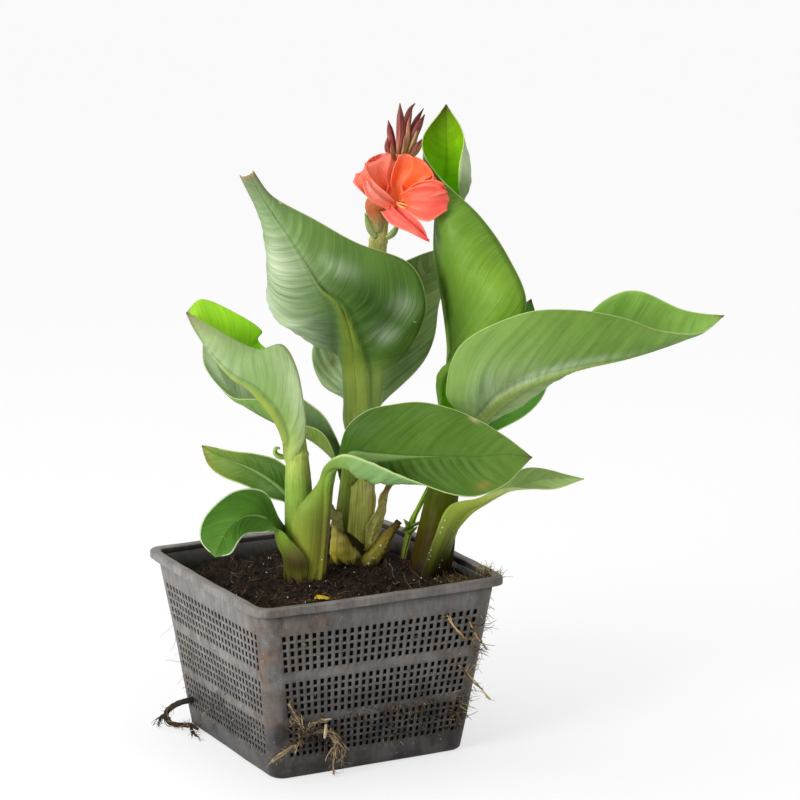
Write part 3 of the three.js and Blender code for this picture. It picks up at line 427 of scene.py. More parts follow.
# An old sheath that clasps a shoot: its turn from the front and its low and top edges at equal steps round,
# then how far it stands off the shoot from foot to top, and how much it bulges between its edges.
WRAPS = {
    "front": {
        "shoot": "centre", "turn": (-100, 36), "torn": 1.3, "curl": 0.8, "gap": (0.6, 1.0, 0.9), "bulge": 1.3,
        "low": [106, 106, 106],
        "top": [139, 142, 144, 141, 134, 128, 117],
        "colours": ["4c3010", "a88c2c", "fff05c", "fff46c", "fff47c", "f0e078", "8c6c40"],
        "edge": "2c180c",
    },
    "dry": {
        "shoot": "centre", "turn": (-16, 98), "torn": 1.6, "curl": 0.6, "bulge": 0.5,
        "gap": (1.6, 1.5, 1.2, 1.0),
        "low": [138, 134, 129, 131, 146, 158],
        "top": [172, 177, 176, 177, 174, 170],
        "colours": ["ffe880", "fff08c", "f4f494", "ecec98", "e8dca0", "d0b480"],
        "edge": "4a3018",
        "fresh": "dce878",
    },
}
SIDE_SHEATH = {
    "shoot": "centre", "swell": (-1, -1.5), "foot": "shoot", "torn": 1,
    "colours": ["f0e884", "fcf890", "fcfc9c", "f8f8a0", "e8d488", "8a6a3c"],
    "stations": [
        [(33, 3, 128), (36, 3, 127), (39, 4, 128)],
        [(33, 2, 141), (39, 2, 139), (46, 6, 137)],
        [(41, 1, 154), (45, 3, 151), (51, 8, 149)],
        [(43, 2, 161), (49, 4, 162), (53, 7, 163)],
        [(48, 1, 169), (53, 2, 170), (57, 3, 170)],
    ],
}

PETALS = {
    "right": {
        "colours": ["ff7a3c", "ff6a4a", "ff6350", "ff6a5c"],
        "stations": [
            [(56, -1, 366), (55, -2, 363), (54, -1, 361)],
            [(59, -17, 373), (60, -13, 364), (57, -13, 356)],
            [(70, -27, 376), (69, -23, 365), (66, -25, 351)],
            [(79, -27, 370), (81, -26, 365), (79, -27, 358)],
        ],
    },
    "right_fold": {
        "colours": ["ff7434", "ff7a4c", "ff8268", "ff7c66"],
        "stations": [
            [(57, -5, 367), (57, -6, 365), (57, -6, 363)],
            [(62, -15, 376), (63, -16, 372), (63, -17, 367)],
            [(71, -23, 378), (72, -25, 374), (72, -25, 369)],
            [(77, -26, 375), (78, -27, 373), (78, -27, 370)],
        ],
    },
    "upper": {
        "colours": ["ff6810", "ff701c", "ff7834", "ff8058"],
        "stations": [
            [(53, 1, 366), (54, -1, 364), (57, -3, 364)],
            [(52, 1, 375), (60, 0, 373), (68, -9, 371)],
            [(53, -2, 386), (66, -3, 383), (74, -15, 378)],
            [(56, -5, 393), (63, -8, 392), (70, -12, 387)],
        ],
    },
    "upper_lobe": {
        "colours": ["ff6a1c", "ff7a30", "ff8046"],
        "stations": [
            [(57, -4, 366), (58, -5, 365), (60, -6, 364)],
            [(66, -10, 375), (69, -11, 372), (70, -12, 368)],
            [(74, -14, 380), (77, -15, 378), (77, -16, 374)],
        ],
    },
    "back": {
        "colours": ["ff7c4c", "ff9068", "ffa084", "ffac98"],
        "stations": [
            [(50, 7, 366), (54, 5, 366), (58, 3, 367)],
            [(43, 15, 377), (56, 13, 376), (67, 5, 376)],
            [(42, 16, 386), (57, 14, 385), (69, 4, 384)],
            [(47, 14, 391), (57, 11, 392), (65, 3, 390)],
        ],
    },
    "left": {
        "colours": ["ff7a40", "ff8058", "ff7e64", "fb6a5c"],
        "stations": [
            [(46, 6, 361), (49, 5, 365), (52, 5, 369)],
            [(34, 4, 366), (41, 3, 373), (51, 4, 380)],
            [(27, 6, 376), (34, 3, 385), (54, 5, 391)],
            [(29.5, 9, 381), (36, 8, 388), (53, 9, 394)],
        ],
    },
    "inner": {
        "colours": ["ff7e5c", "ff9478", "ff9a84", "ff8a7a"],
        "stations": [
            [(49, -4, 358), (51, -5, 360), (52, -4, 363)],
            [(38, -5, 363), (41, -8, 365), (45, -6, 369)],
            [(32, -4, 368), (34, -6, 372), (38, -5, 375)],
            [(30, -1, 376), (32, -2, 378), (36, -2, 379)],
        ],
    },
    "throat": {
        "colours": ["ff7a34", "ff6a24", "ff7030"],
        "stations": [
            [(47, -2, 361), (51, -4, 359), (55, -6, 361)],
            [(47, 1, 367), (52, -1, 365), (58, -5, 366)],
            [(51, 4, 374), (55, 4, 375), (59, 1, 374)],
        ],
    },
    "lower": {
        "colours": ["ff6a58", "ff6c5c", "ff6858", "fa5a50"],
        "stations": [
            [(55, -2, 362), (50, -3, 360), (45, 1, 357)],
            [(60, -10, 356), (53, -11, 354), (48, -5, 349)],
            [(65, -18, 349), (59, -19, 347), (57, -14, 344)],
            [(68, -22, 338), (68, -22, 338), (68, -22, 337)],
        ],
    },
    "lower_back": {
        "colours": ["e0382c", "e8483a", "f05848"],
        "stations": [
            [(56, -2, 360), (54, -1, 359), (52, 0, 357)],
            [(61, -9, 358), (60, -9, 354), (57, -8, 351)],
            [(63, -14, 354), (62, -14, 352), (60, -13, 350)],
        ],
    },
}
CALYX = {
    "line": [(49, 15, 341), (48, 13, 350), (45, 10, 360), (54, 0, 364)],
    "radii": [3.4, 6, 6.4, 4],
    "colours": ["dce0a4", "dcb078", "d07c44", "cc6030", "f0744c"],
}
STAMENS = [
    [(53, -4, 361), (55, -8, 359.5), (56, -11, 359)],
    [(53, -3, 362), (57, -7, 361), (59, -10, 360)],
]

BUDS = [
    ([(63, 16, 389), (60, 16, 401), (58, 17, 414)], 2.6),
    ([(60, 14, 388), (56, 14, 395), (55, 13, 403)], 2),
    ([(63, 12, 390), (63, 9, 407), (62, 8, 426)], 3),
    ([(67, 14, 389), (69, 13, 407), (72, 13, 420), (75, 11, 425)], 3),
    ([(69, 15, 389), (76, 15, 409), (83, 14, 421)], 2.2),
    ([(67, 12, 389), (73, 8, 405), (79, 5, 418)], 3),
    ([(68, 12, 387), (72, 8, 393), (76, 3, 402)], 2.6),
]
BUD_SHAPE = [0.5, 0.85, 1, 0.8, 0.12]
TAN_BRACTS = [  # the dry bracts between the buds
    [(66, 10, 390), (67, 7, 400), (68, 7, 412), (70, 7, 420)],
    [(68, 9, 390), (71, 6, 399), (75, 6, 409), (79, 6, 417)],
    [(64, 9, 389), (65, 7, 396), (65, 7, 405)],
    [(69, 8, 388), (74, 5, 395), (78, 3, 403)],
    [(61, 12, 388), (58, 11, 394), (57, 11, 400)],
]
SPIKE = {"line": [(63.5, 15, 387), (66, 14, 392), (68, 13, 398)], "radii": [3, 4.2, 2.5]}

# A strand is a line and its radius. A point given as a wall, a row, a column and how far out lies in that
# opening of the mesh.
STRANDS = {
    "root_loop": [
        ([
            ("L", 5, 0, -1.8), ("L", 5, 0, 3), (-82, 60, 18), (-88, 66, 11), (-86, 64, 4), (-80, 57, 3),
            (-77, 49, 5), (-75.5, 42, 4),
        ], 1.8),
        ([(-88, 66, 11), (-92, 68, 6), (-94, 66, 2)], 0.6),
        ([(-77, 49, 5), (-80, 40, 3), (-79, 32, 1.6)], 1.0),
    ],
    "roots_front": [
        ([("F", 4, 0, -1.8), ("F", 4, 0, 3), (-58, -82, 30), (-66, -82, 26), (-80, -81, 17)], 0.9),
        ([(-52, -82, 32), (-60, -86, 43), (-68, -86, 57)], 0.7),
        ([(-55, -79, 32), (-48, -82, 40), (-40, -84, 40)], 0.6),
        ([(-56, -79, 32), (-40, -82, 33), (-31, -82, 26), (-33, -80, 14), (-32, -78, 2)], 0.8),
        ([(-40, -82, 33), (-29, -81, 22), (-26, -79, 8)], 0.6),
    ],
    "straw_high": [([("F", 1, 8, -1.8), ("F", 1, 8, 3), (51, -87, 94), (46, -88, 102)], 0.8)],
    "straw_edge": [([("F", 0, 8, -1.8), ("F", 0, 8, 3), (67, -88, 87), (77, -88, 73)], 0.7)],
    "straw_low": [([("F", 2, 8, -1.8), ("F", 2, 8, 3), (64, -83, 58), (80, -87, 38)], 0.7)],
}
STRAND_COLOURS = {
    "straw": ["84684a", "c4aa7c", "e4d2a8"],
    "root_loop": ["2e2218", "3c2c1e", "54402c"],
    "roots_front": ["564430", "9a8262", "dcc8a0"],
}
PALE_BITS = [  # split straw among the front roots
    ([(-40.3, -83.5, 38.5), (-40.6, -84, 34), (-41, -83, 29)], 1.3),
    ([(-43.5, -83, 42), (-40, -84, 41.6), (-36, -83.5, 41.6)], 0.7),
]
SCRAP = {
    "torn": 0.4, "relief": 0.2, "spacing": 2,
    "colours": ["f2c818", "f6d628", "e8b81c"],
    "stations": [
        [(-31, -49, 113.4), (-32, -51, 113.4), (-30, -53, 113.4)],
        [(-28, -48, 114.4), (-28, -51, 114), (-28, -54, 113.4)],
        [(-24, -51, 114), (-24, -54, 113.6), (-24, -57, 113.4)],
    ],
}

# ---------------------------------------------------------------- lines and shapes


def linear(code):
    """The scene-linear colour of a six-digit screen colour."""
    parts = [int(code[k:k + 2], 16) / 255 for k in (0, 2, 4)]
    return np.array([p / 12.92 if p <= 0.04045 else ((p + 0.055) / 1.055) ** 2.4 for p in parts])


def palette(*codes):
    return [linear(code) for code in codes]


def ramp(codes, t):
    """Colours at t (0 to 1) of a list of screen colours set at equal steps."""
    colours = np.array(palette(*codes))
    steps = np.linspace(0, 1, len(codes))
    return joined(*(np.interp(t, steps, colours[:, k]) for k in range(3)))


def joined(*parts):
    """Arrays side by side as the coordinates of points."""
    return np.stack(np.broadcast_arrays(*parts), axis=-1)


def along(values, t):
    """The value at t (0 to 1) of a smooth line through numbers or points set at equal steps."""
    values = np.asarray(values, float)
    last = len(values) - 1
    x = np.clip(np.asarray(t, float), 0, 1) * last
    i = np.minimum(np.floor(x).astype(int), last - 1)
    f = x - i
    if values.ndim > 1:
        f = f[..., None]
    before, here, ahead, beyond = (values[np.clip(i + k, 0, last)] for k in (-1, 0, 1, 2))
    return (
        (2 * f**3 - 3 * f**2 + 1) * here
        + (f**3 - 2 * f**2 + f) * (ahead - before) / 2
        + (3 * f**2 - 2 * f**3) * ahead
        + (f**3 - f**2) * (beyond - here) / 2
    )


def unit(vectors):
    lengths = np.linalg.norm(vectors, axis=-1, keepdims=True)
    return vectors / np.maximum(lengths, 1e-9)


def lengths_along(points):
    """How far along a line of points each of them lies."""
    return np.concatenate([[0], np.cumsum(np.linalg.norm(np.diff(points, axis=0), axis=1))])


def walk(line, steps):
    """Points at equal distances on a smooth line through points, and the line's directions there."""
    line = np.asarray(line, float)
    longer = np.vstack([2 * line[0] - line[1], line, 2 * line[-1] - line[-2]])
    ends = 1 / (len(longer) - 1)
    fine = along(longer, np.linspace(ends, 1 - ends, 40 * len(line)))
    run = lengths_along(fine)
    at = np.linspace(0, run[-1], steps + 1)
    points = joined(*(np.interp(at, run, fine[:, k]) for k in range(3)))
    return points, unit(np.gradient(points, axis=0))


def wander(points, size, seed, waves=7):
    """Smooth random heights, about -1 to 1, with bumps of the given size."""
    rng = np.random.default_rng(seed)
    points = np.asarray(points, float)
    total = np.zeros(points.shape[:-1])
    for _ in range(waves):
        way = unit(rng.normal(size=points.shape[-1]))
        step = 2 * np.pi / (size * rng.uniform(0.7, 1.6))
        total += np.sin(points @ way * step + rng.uniform(0, 2 * np.pi))
    return total / math.sqrt(waves)


def smooth(value, low, high):
    """0 below low, 1 above high, with a soft step between them."""
    f = np.clip((value - low) / (high - low), 0, 1)
    return f * f * (3 - 2 * f)


def near(value, at, reach):
    """1 at a place, fading away from it."""
    return np.exp(-(((value - at) / reach) ** 2))


def wave(phase, step):
    """Round pillows with a sharp groove between them at every step."""
    return np.abs(np.sin(np.pi * phase / step))


def muddied(points, paint):
    """The paint with mud on the foot of what grows out of the soil."""
    above = points[:, 2] - soil_height(points[:, 0], points[:, 1]) + MUD["ragged"] * wander(points, 6, 71)
    mud = MUD["strength"] * (1 - smooth(above, -1, MUD["height"]))
    return paint + (linear(MUD["colour"]) - paint) * mud[:, None]


class Skin:
    """A mesh in the making: points in mm with the colour and the lay painted at each, and finished faces."""

    def __init__(self):
        self.points, self.paint, self.bloom, self.lay, self.vein = [], [], [], [], []
        self.faces, self.finish = [], []
        self.count = 0

    def add(self, points, faces, finish, paint, lay=None, vein=None, bloom=0):
        """Add points and faces that count from their first; finish is one for all faces or a list."""
        points = np.asarray(points, float).reshape(-1, 3)
        n = len(points)
        self.points.append(points)
        self.paint.append(np.broadcast_to(np.asarray(paint).reshape(-1, 3), (n, 3)))
        self.bloom.append(np.broadcast_to(np.asarray(bloom, float).reshape(-1, 1), (n, 1)))
        self.lay.append(points if lay is None else np.asarray(lay, float).reshape(n, 3))
        self.vein.append(np.zeros((n, 3)) if vein is None else np.asarray(vein, float).reshape(n, 3))
        self.faces += [[k + self.count for k in face] for face in faces]
        self.finish += [finish] * len(faces) if isinstance(finish, int) else list(finish)
        self.count += n

    def piece(self, name, node, slot, materials, sharp=False, muddy=False):
        """Make the mesh object: it rides on the root body and stands for its CAD node."""
        mesh = bpy.data.meshes.new(name)
        points = np.concatenate(self.points)
        mesh.from_pydata((points * MM).tolist(), [], self.faces)
        mesh.polygons.foreach_set("material_index", self.finish)
        mesh.polygons.foreach_set("use_smooth", [not sharp] * len(self.faces))
        paint = np.concatenate(self.paint)
        if muddy:
            paint = muddied(points, paint)
        paint = np.concatenate([paint, np.concatenate(self.bloom)], axis=1)
        mesh.attributes.new("paint", "FLOAT_COLOR", "POINT").data.foreach_set("color", paint.ravel())
        for title, values in (("lay", self.lay), ("vein", self.vein)):
            layer = mesh.attributes.new(title, "FLOAT_VECTOR", "POINT")
            layer.data.foreach_set("vector", np.concatenate(values).ravel())
        for material in materials:
            mesh.materials.append(material)
        mesh.update()
        piece = bpy.data.objects.new(name, mesh)
        bpy.context.scene.collection.objects.link(piece)
        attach(piece, "root")
        if node:
            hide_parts(node)


def grid_faces(rows, columns, start=0, flip=False, closed=False):
    """Quads of a grid of rows x columns points; closed joins the last column to the first."""
    faces = []
    for i in range(rows - 1):
        for j in range(columns if closed else columns - 1):
            a, b = start + i * columns + j, start + i * columns + (j + 1) % columns
            face = [a, b, b + columns, a + columns]
            faces.append(face[::-1] if flip else face)
    return faces


def end_caps(rows, columns):
    """The two faces that close a tube of rows rings of columns points."""
    return [list(range(columns))[::-1], [(rows - 1) * columns + k for k in range(columns)]]


def slab_faces(rows, columns):
    """Quads of an upper and an under grid of points, closed round their edge."""
    total = rows * columns
    faces = grid_faces(rows, columns) + grid_faces(rows, columns, total, flip=True)
    last = total - 1
    loop = [*range(columns), *range(2 * columns - 1, last, columns), *range(last, last - columns, -1)]
    loop += [*range(last - 2 * columns + 1, 0, -columns)]
    for a, b in zip(loop, loop[1:] + loop[:1]):
        faces.append([b, a, a + total, b + total])
    return faces


def tube(skin, line, radii, colours, sides, steps, ridges=0, rings=(), rough=0, seed=1, finish=0, flat=1):
    """Add a round bar of changing radius along a line, with fine ridges, rings and a rough surface."""
    centres, ahead = walk(line, steps)
    t = np.linspace(0, 1, steps + 1)
    radius = along(radii, t)
    for height, swell in rings:
        radius = radius + swell * near(centres[:, 2], height, RING_WIDTH)
    turn = np.arange(sides) * 2 * np.pi / sides
    ridge = np.abs(np.sin(turn * round(sides / 4)))
    across = np.array([1.0, 0, 0])
    points, lay = [], []
    run = 0
    for i in range(steps + 1):
        if abs(across @ ahead[i]) > 0.9:
            across = np.array([0, 0, 1.0])
        across = unit(across - ahead[i] * (across @ ahead[i]))
        other = np.cross(ahead[i], across)
        run += np.linalg.norm(centres[i] - centres[i - 1]) if i else 0
        r = radius[i] * (1 + ridges / max(radius[i], 1) * ridge)
        x, y = r * np.cos(turn), r * np.sin(turn)
        points.append(centres[i] + np.outer(x, across) + np.outer(y * flat, other))
        lay.append(joined(x, y, run))
    points = np.array(points)
    if rough:
        out = unit(points - centres[:, None])
        points = points + out * (rough * wander(points, 3.0, seed))[..., None]
    faces = grid_faces(steps + 1, sides, closed=True) + end_caps(steps + 1, sides)
    paint = np.repeat(ramp(colours, t)[:, None], sides, axis=1)
    skin.add(points, faces, finish, paint, np.array(lay) + seed * 17)


# ---------------------------------------------------------------- blades and sheaths


def shoot_axis(shoot):
    """Points along a shoot's axis and its radius at each."""
    axis, _ = walk(SHOOTS[shoot]["line"], 60)
    return axis, along(SHOOTS[shoot]["radii"], np.linspace(0, 1, 61))


def footed(spec):
    """A blade's stations with one more below them, sunk into its shoot or buried in the soil."""
    stations = spec["stations"]
    if "foot" not in spec:
        return stations
    corners = np.array(stations[0][:3], float)
    if spec["foot"] == "soil":
        low = corners - (0, 0, SOIL_DROP)
    else:
        axis, radii = shoot_axis(spec["shoot"])
        low = []
        for below in corners - (0, 0, FOOT_DROP):
            gaps = np.linalg.norm(axis - below, axis=1)
            k = gaps.argmin()
            low.append(axis[k] + (below - axis[k]) / gaps[k] * (radii[k] - FOOT_SINK))
    return [[*low, *stations[0][3:]], *stations]


def blade_form(spec, rows, columns, swell, seed):
    """A blade's middle surface through its stations, and where each of its points lies on it."""
    stations = footed(spec)
    t = np.linspace(0, 1, rows + 1)
    left, rib, right = (np.array([station[k] for station in stations], float) for k in range(3))
    bows = [along([s[3 + k] if len(s) > 3 else swell[k] for s in stations], t) for k in (0, 1)]
    depth = along([s[5] if len(s) > 5 else 0 for s in stations], t)
    centre = along(rib, t)
    ahead = unit(along(rib, t + 0.01) - along(rib, t - 0.01))
    share = (np.arange(columns + 1) / columns) ** 1.4
    halves, widths = [], []
    for side, margin in enumerate((left, right)):
        chord = along(margin, t) - centre
        for i in range(rows + 1):
            if np.linalg.norm(chord[i]) < LEAST_HALF:
                chord[i] = unit(chord[i - 1] if i else chord[i] + 1e-6) * LEAST_HALF
        up = np.cross(ahead, chord) if side == 0 else np.cross(chord, ahead)
        bow = bows[side][:, None] * 4 * share * (1 - share)
        halves.append(centre[:, None] + chord[:, None] * share[:, None] + unit(up)[:, None] * bow[..., None])
        widths.append(np.linalg.norm(chord, axis=1)[:, None])
    points = np.concatenate([halves[0][:, :0:-1], halves[1]], axis=1)
    s = np.concatenate([-share[:0:-1], share])[None, :]
    t = t[:, None]
    width = np.where(s < 0, *widths)
    run = lengths_along(centre)[:, None]
    size = np.abs(s)
    blade_from = (spec.get("blade_from", -9) + ("foot" in spec)) / (len(stations) - 1)
    phase = run - width * (0.6 * size + 0.5 * size**2)
    phase = phase + 1.6 * wander(joined(phase, width * size), 60, seed + 2)
    return SimpleNamespace(
        points=points, ahead=ahead, t=t, s=s, run=run, width=width, size=size, depth=depth[:, None],
        phase=phase, leafy=smooth(t, blade_from - 0.05, blade_from + 0.05), rib_gap=width * size,
        margin_gap=width * (1 - size), flow=joined(run, s * 9),
    )


def blade_relief(spec, at, seed):
    """How far a blade stands off its middle surface, and how much painted shade darkens the grooves between
    its pleats.
    """
    t, phase, rib_gap = at.t, at.phase, at.rib_gap
    fade = at.leafy * smooth(rib_gap, 1, 7) * smooth(at.margin_gap, 0, 8) * smooth(1 - t, 0.02, 0.15)
    strength = 0.7 + 0.5 * wander(joined(phase, 0.3 * rib_gap), 14, seed)
    lift = spec.get("relief", 0) * fade * strength * (wave(phase, spec.get("spacing", 8)) - 0.6)
    lift += spec.get("gather", 0) * near(rib_gap, 5, 5) * smooth(1 - t, 0.3, 0.5) * wave(phase, 3.4)
    groove_shade = np.zeros_like(rib_gap)
    if "pleats" in spec:
        side, high, step, reach, start, end = spec["pleats"]
        along_blade = smooth(t, start - 0.1, start) * (1 - smooth(t, end, end + 0.15))
        beside_rib = smooth(rib_gap, 0.5, 3) * near(rib_gap, 0, reach) * (at.s * side > 0)
        uneven = 1 + 0.4 * wander(joined(phase, 0.2 * rib_gap), 11, seed + 13)
        pleat = wave(phase, step)
        lift += high * uneven * along_blade * beside_rib * (pleat - 0.6)
        # painted shade in the grooves between the pleats
        groove_shade = 0.52 * along_blade * beside_rib * (1 - pleat) ** 2
    lift += spec.get("flutter", 0) * at.size**2 * wander(at.flow, 34, seed + 5) * smooth(1 - t, 0, 0.1)
    lift += spec.get("rumple", 0.5) * fade * wander(joined(phase, 0.25 * rib_gap), 24, seed + 7)
    if "rib_half" not in spec:
        lift -= 0.35 * at.leafy * near(rib_gap, 0, 1.1) * np.minimum(at.depth, 1)
    lift += 0.12 * (1 - at.leafy) * np.abs(np.sin(np.pi * at.s * at.width / 1.3))
    if "torn" in spec:
        lift += spec["torn"] * 0.35 * wander(at.points, 6, seed + 3)
    return lift, groove_shade


def blade_paint(spec, side, at):
    """The colours of a blade's upper or under side with its patches, and its bloom with painted sheen."""
    paint = np.repeat(ramp(spec.get(side, spec.get("colours")), at.t[:, 0])[:, None], at.s.size, axis=1)
    bloom = np.zeros(paint.shape[:2])
    for face, t0, s0, size_t, size_s, code, strong in spec.get("patches", ()):
        if face in (side, "both"):
            mask = strong * near(at.t, t0, size_t) * near(at.s, s0, size_s)
            if code == "bloom":
                bloom = np.maximum(bloom, mask)
            else:
                paint = paint + (linear(code) - paint) * mask[..., None]
    return paint, bloom


def blade(skin, spec, rows=120, columns=22, thickness=0.6, swell=(0, 0), finishes=(0, 1), seed=1):
    """Add a leaf, sheath or petal: an upper and an under skin through its stations, from foot to tip."""
    rows = spec.get("rows", rows)
    at = blade_form(spec, rows, columns, spec.get("swell", swell), seed)
    normal = unit(np.cross(np.gradient(at.points, axis=1), np.gradient(at.points, axis=0)))
    if "torn" in spec:
        ragged = spec["torn"] * smooth(at.t, 0.8, 1) * 3 * wander(at.flow + (0, 40), 5, seed + 9)
        at.points = at.points + at.ahead[:, None] * ragged[..., None]
    lift, groove_shade = blade_relief(spec, at, seed)
    rib_half = along(spec["rib_half"], at.t[:, 0])[:, None] if "rib_half" in spec else 0.3 + 0.6 * at.depth
    bulge = at.depth * np.sqrt(np.clip(1 - (at.rib_gap / (1.25 * rib_half)) ** 2, 0, 1))
    half = thickness / 2
    upper = at.points + normal * (lift + half)[..., None]
    under = at.points + normal * (lift - half - np.maximum(bulge - half, 0))[..., None]

    stalky = 1 - at.leafy
    rib_foot = 0 if "rib_half" in spec else 4
    rib_mark = at.rib_gap / rib_half + rib_foot * stalky + 1.3 * smooth(at.t, 0.45, 0.9)
    margin_mark = at.margin_gap + 4 * stalky + 4 * (1 - smooth(at.width, 1.5, 5))
    grain = at.phase * at.leafy + 1.5 * at.s * at.width * stalky
    lay = joined(at.s * at.width, at.run, 31.0 * seed)
    vein = joined(grain, rib_mark, margin_mark)
    paints, blooms = zip(*(blade_paint(spec, side, at) for side in ("upper", "under")))
    faces = slab_faces(rows + 1, 2 * columns + 1)
    top = rows * 2 * columns
    kinds = [finishes[0]] * top + [finishes[1]] * (len(faces) - top)
    # the pleats' grooves darken the paint: painted shade
    paint = np.stack(paints) * (1 - groove_shade[..., None])
    points, lays, veins = (np.stack(pair) for pair in ([upper, under], [lay] * 2, [vein] * 2))
    skin.add(points, faces, kinds, paint, lays, veins, np.stack(blooms))


def wrap(skin, spec, seed):
    """Add an old sheath: a sheet that clasps a shoot, with fibres lengthwise and a torn top."""
    axis, radii = shoot_axis(spec["shoot"])
    columns, rows = 57, 45
    across, up = np.linspace(0, 1, columns), np.linspace(0, 1, rows)[:, None]
    turn = FACING + np.radians(spec["turn"][0] + (spec["turn"][1] - spec["turn"][0]) * across)
    way = joined(np.cos(turn), np.sin(turn))
    mark = way * WRAP_RADIUS
    ragged = spec["torn"] * (wander(mark, 9, seed) + 0.6 * wander(mark, 3, seed + 1))
    low, top = along(spec["low"], across), along(spec["top"], across) + ragged
    z = low + (top - low) * up
    place = joined(turn * WRAP_RADIUS, z)
    r = np.interp(z, axis[:, 2], radii) + along(spec["gap"], up[:, 0])[:, None]
    r = r + spec["bulge"] * np.sin(np.pi * up) * np.sin(np.pi * across)
    r = r + spec["curl"] * smooth(up, 0.8, 1) * (1 + 0.5 * wander(mark, 6, seed + 2))
    r = r + 0.16 * np.abs(np.sin(turn * WRAP_RADIUS / 1.1)) + 0.25 * wander(place, 7, seed + 3)
    middle = joined(*(np.interp(z, axis[:, 2], axis[:, k]) for k in (0, 1)))
    flats = [middle + (r - inset)[..., None] * way for inset in (0, 0.7)]
    sheets = np.stack([np.concatenate([flat, z[..., None]], axis=-1) for flat in flats])
    paint = np.repeat(ramp(spec["colours"], up[:, 0])[:, None], columns, axis=1)
    gap = np.minimum(top - z, WRAP_RADIUS * (turn[-1] - turn))
    if "fresh" in spec:
        still = (0.85 * (1 - smooth(across + 0.06 * ragged, 0.2, 0.62)))[:, None]
        paint = paint + (linear(spec["fresh"]) - paint) * still
    else:
        gap = np.minimum(gap, WRAP_RADIUS * (turn - turn[0]))
    brown = (1 - smooth(gap + 0.8 * wander(place, 4, seed + 4), 0.5, 3.4))[..., None]
    paint = paint + (linear(spec["edge"]) - paint) * 0.85 * brown
    lay = joined(turn * WRAP_RADIUS, 31.0 * seed, z)
    skin.add(sheets, slab_faces(rows, columns), 0, np.stack([paint] * 2), np.stack([lay] * 2))


# ---------------------------------------------------------------- shader parts


class Nodes:
    """A shader tree with a short call for each kind of node. A value is plain or another node's output."""

    def __init__(self, tree):
        self.tree = tree

    def set(self, socket, value):
        if isinstance(value, bpy.types.NodeSocket):
            self.tree.links.new(value, socket)
        else:
            socket.default_value = value

    def fill(self, sockets, **values):
        for title, value in values.items():
            self.set(sockets[title], value)

    def put(self, kind, inputs=None, **settings):
        """Place a node: settings are its properties, inputs its sockets' values."""
        node = self.tree.nodes.new("ShaderNode" + kind)
        for key, value in settings.items():
            setattr(node, key, value)
        for key, value in (inputs or {}).items():
            self.set(node.inputs[key], value)
        return node

    def math(self, operation, *values):
        return self.put("Math", dict(enumerate(values)), operation=operation).outputs[0]

    def times(self, a, b):
        return self.math("MULTIPLY", a, b)

    def plus(self, a, b):
        return self.math("ADD", a, b)

    def times_plus(self, a, b, c):
        return self.math("MULTIPLY_ADD", a, b, c)

    def fade(self, value, low, high, start=0.0, end=1.0):
        """A smooth step from start at low to end at high."""
        inputs = {"Value": value, "From Min": low, "From Max": high, "To Min": start, "To Max": end}
        return self.put("MapRange", inputs, interpolation_type="SMOOTHSTEP").outputs["Result"]

    def tint(self, factor, a, b, mode="MIX"):
        """Colour a turned toward colour b by the factor; b may be a screen colour."""
        inputs = {0: factor, 6: a, 7: (*linear(b), 1) if isinstance(b, str) else b}
        return self.put("Mix", inputs, data_type="RGBA", blend_type=mode, clamp_factor=True).outputs[2]

    def coat(self, colour, mask, share, other, mode="MIX"):
        """The colour with a share of the other one on it where the mask is."""
        return self.tint(self.times(mask, share), colour, other, mode)

    def noise(self, place, scale, detail=3.0, roughness=0.55):
        inputs = {"Vector": place, "Scale": scale, "Detail": detail, "Roughness": roughness}
        return self.put("TexNoise", inputs).outputs["Fac"]

    def stretched(self, place, by):
        return self.put("VectorMath", {0: place, 1: by}, operation="MULTIPLY").outputs[0]

    def split(self, place):
        return self.put("SeparateXYZ", {0: place}).outputs

    def joined(self, *parts):
        return self.put("CombineXYZ", dict(enumerate(parts))).outputs[0]

    def painted(self, title):
        return self.put("Attribute", attribute_name=title).outputs

    def use(self, group, **inputs):
        node = self.put("Group", node_tree=group)
        self.fill(node.inputs, **inputs)
        return node.outputs

    def mottle(self, place, size, contrast):
        return self.use(MOTTLE, Place=place, Size=size, Contrast=contrast)["Mask"]

    def specks(self, place, size, share):
        return self.use(SPECKS, Place=place, Size=size, Share=share)["Mask"]


class Finish(Nodes):
    """A material in the making, with its surface shader and that shader's plain values."""

    def __init__(self, name, constants):
        self.material = bpy.data.materials.new(name)
        self.material.use_nodes = True
        super().__init__(self.material.node_tree)
        self.tree.nodes.clear()
        self.shader = self.put("BsdfPrincipled", constants)
        self.put("OutputMaterial", {"Surface": self.shader.outputs[0]})

    def done(self, colour, roughness, height, distance, strength=1.0):
        """Join the colour, the roughness and the bumps (their distance in mm) to the shader."""
        bump = self.put("Bump", {"Height": height, "Distance": distance * MM, "Strength": strength})
        values = {"Base Color": colour, "Roughness": roughness, "Normal": bump.outputs[0]}
        self.fill(self.shader.inputs, **values)
        return self.material


def new_group(name, inputs, outputs):
    """A shader node group with named sockets; each input is a name, a kind and a starting value."""
    group = bpy.data.node_groups.new(name, "ShaderNodeTree")
    for title, kind, value in inputs:
        socket = group.interface.new_socket(title, in_out="INPUT", socket_type="NodeSocket" + kind)
        if value is not None:
            socket.default_value = value
    for title in outputs:
        group.interface.new_socket(title, in_out="OUTPUT", socket_type="NodeSocketFloat")
    return Nodes(group), group.nodes.new("NodeGroupInput").outputs, group.nodes.new("NodeGroupOutput").inputs


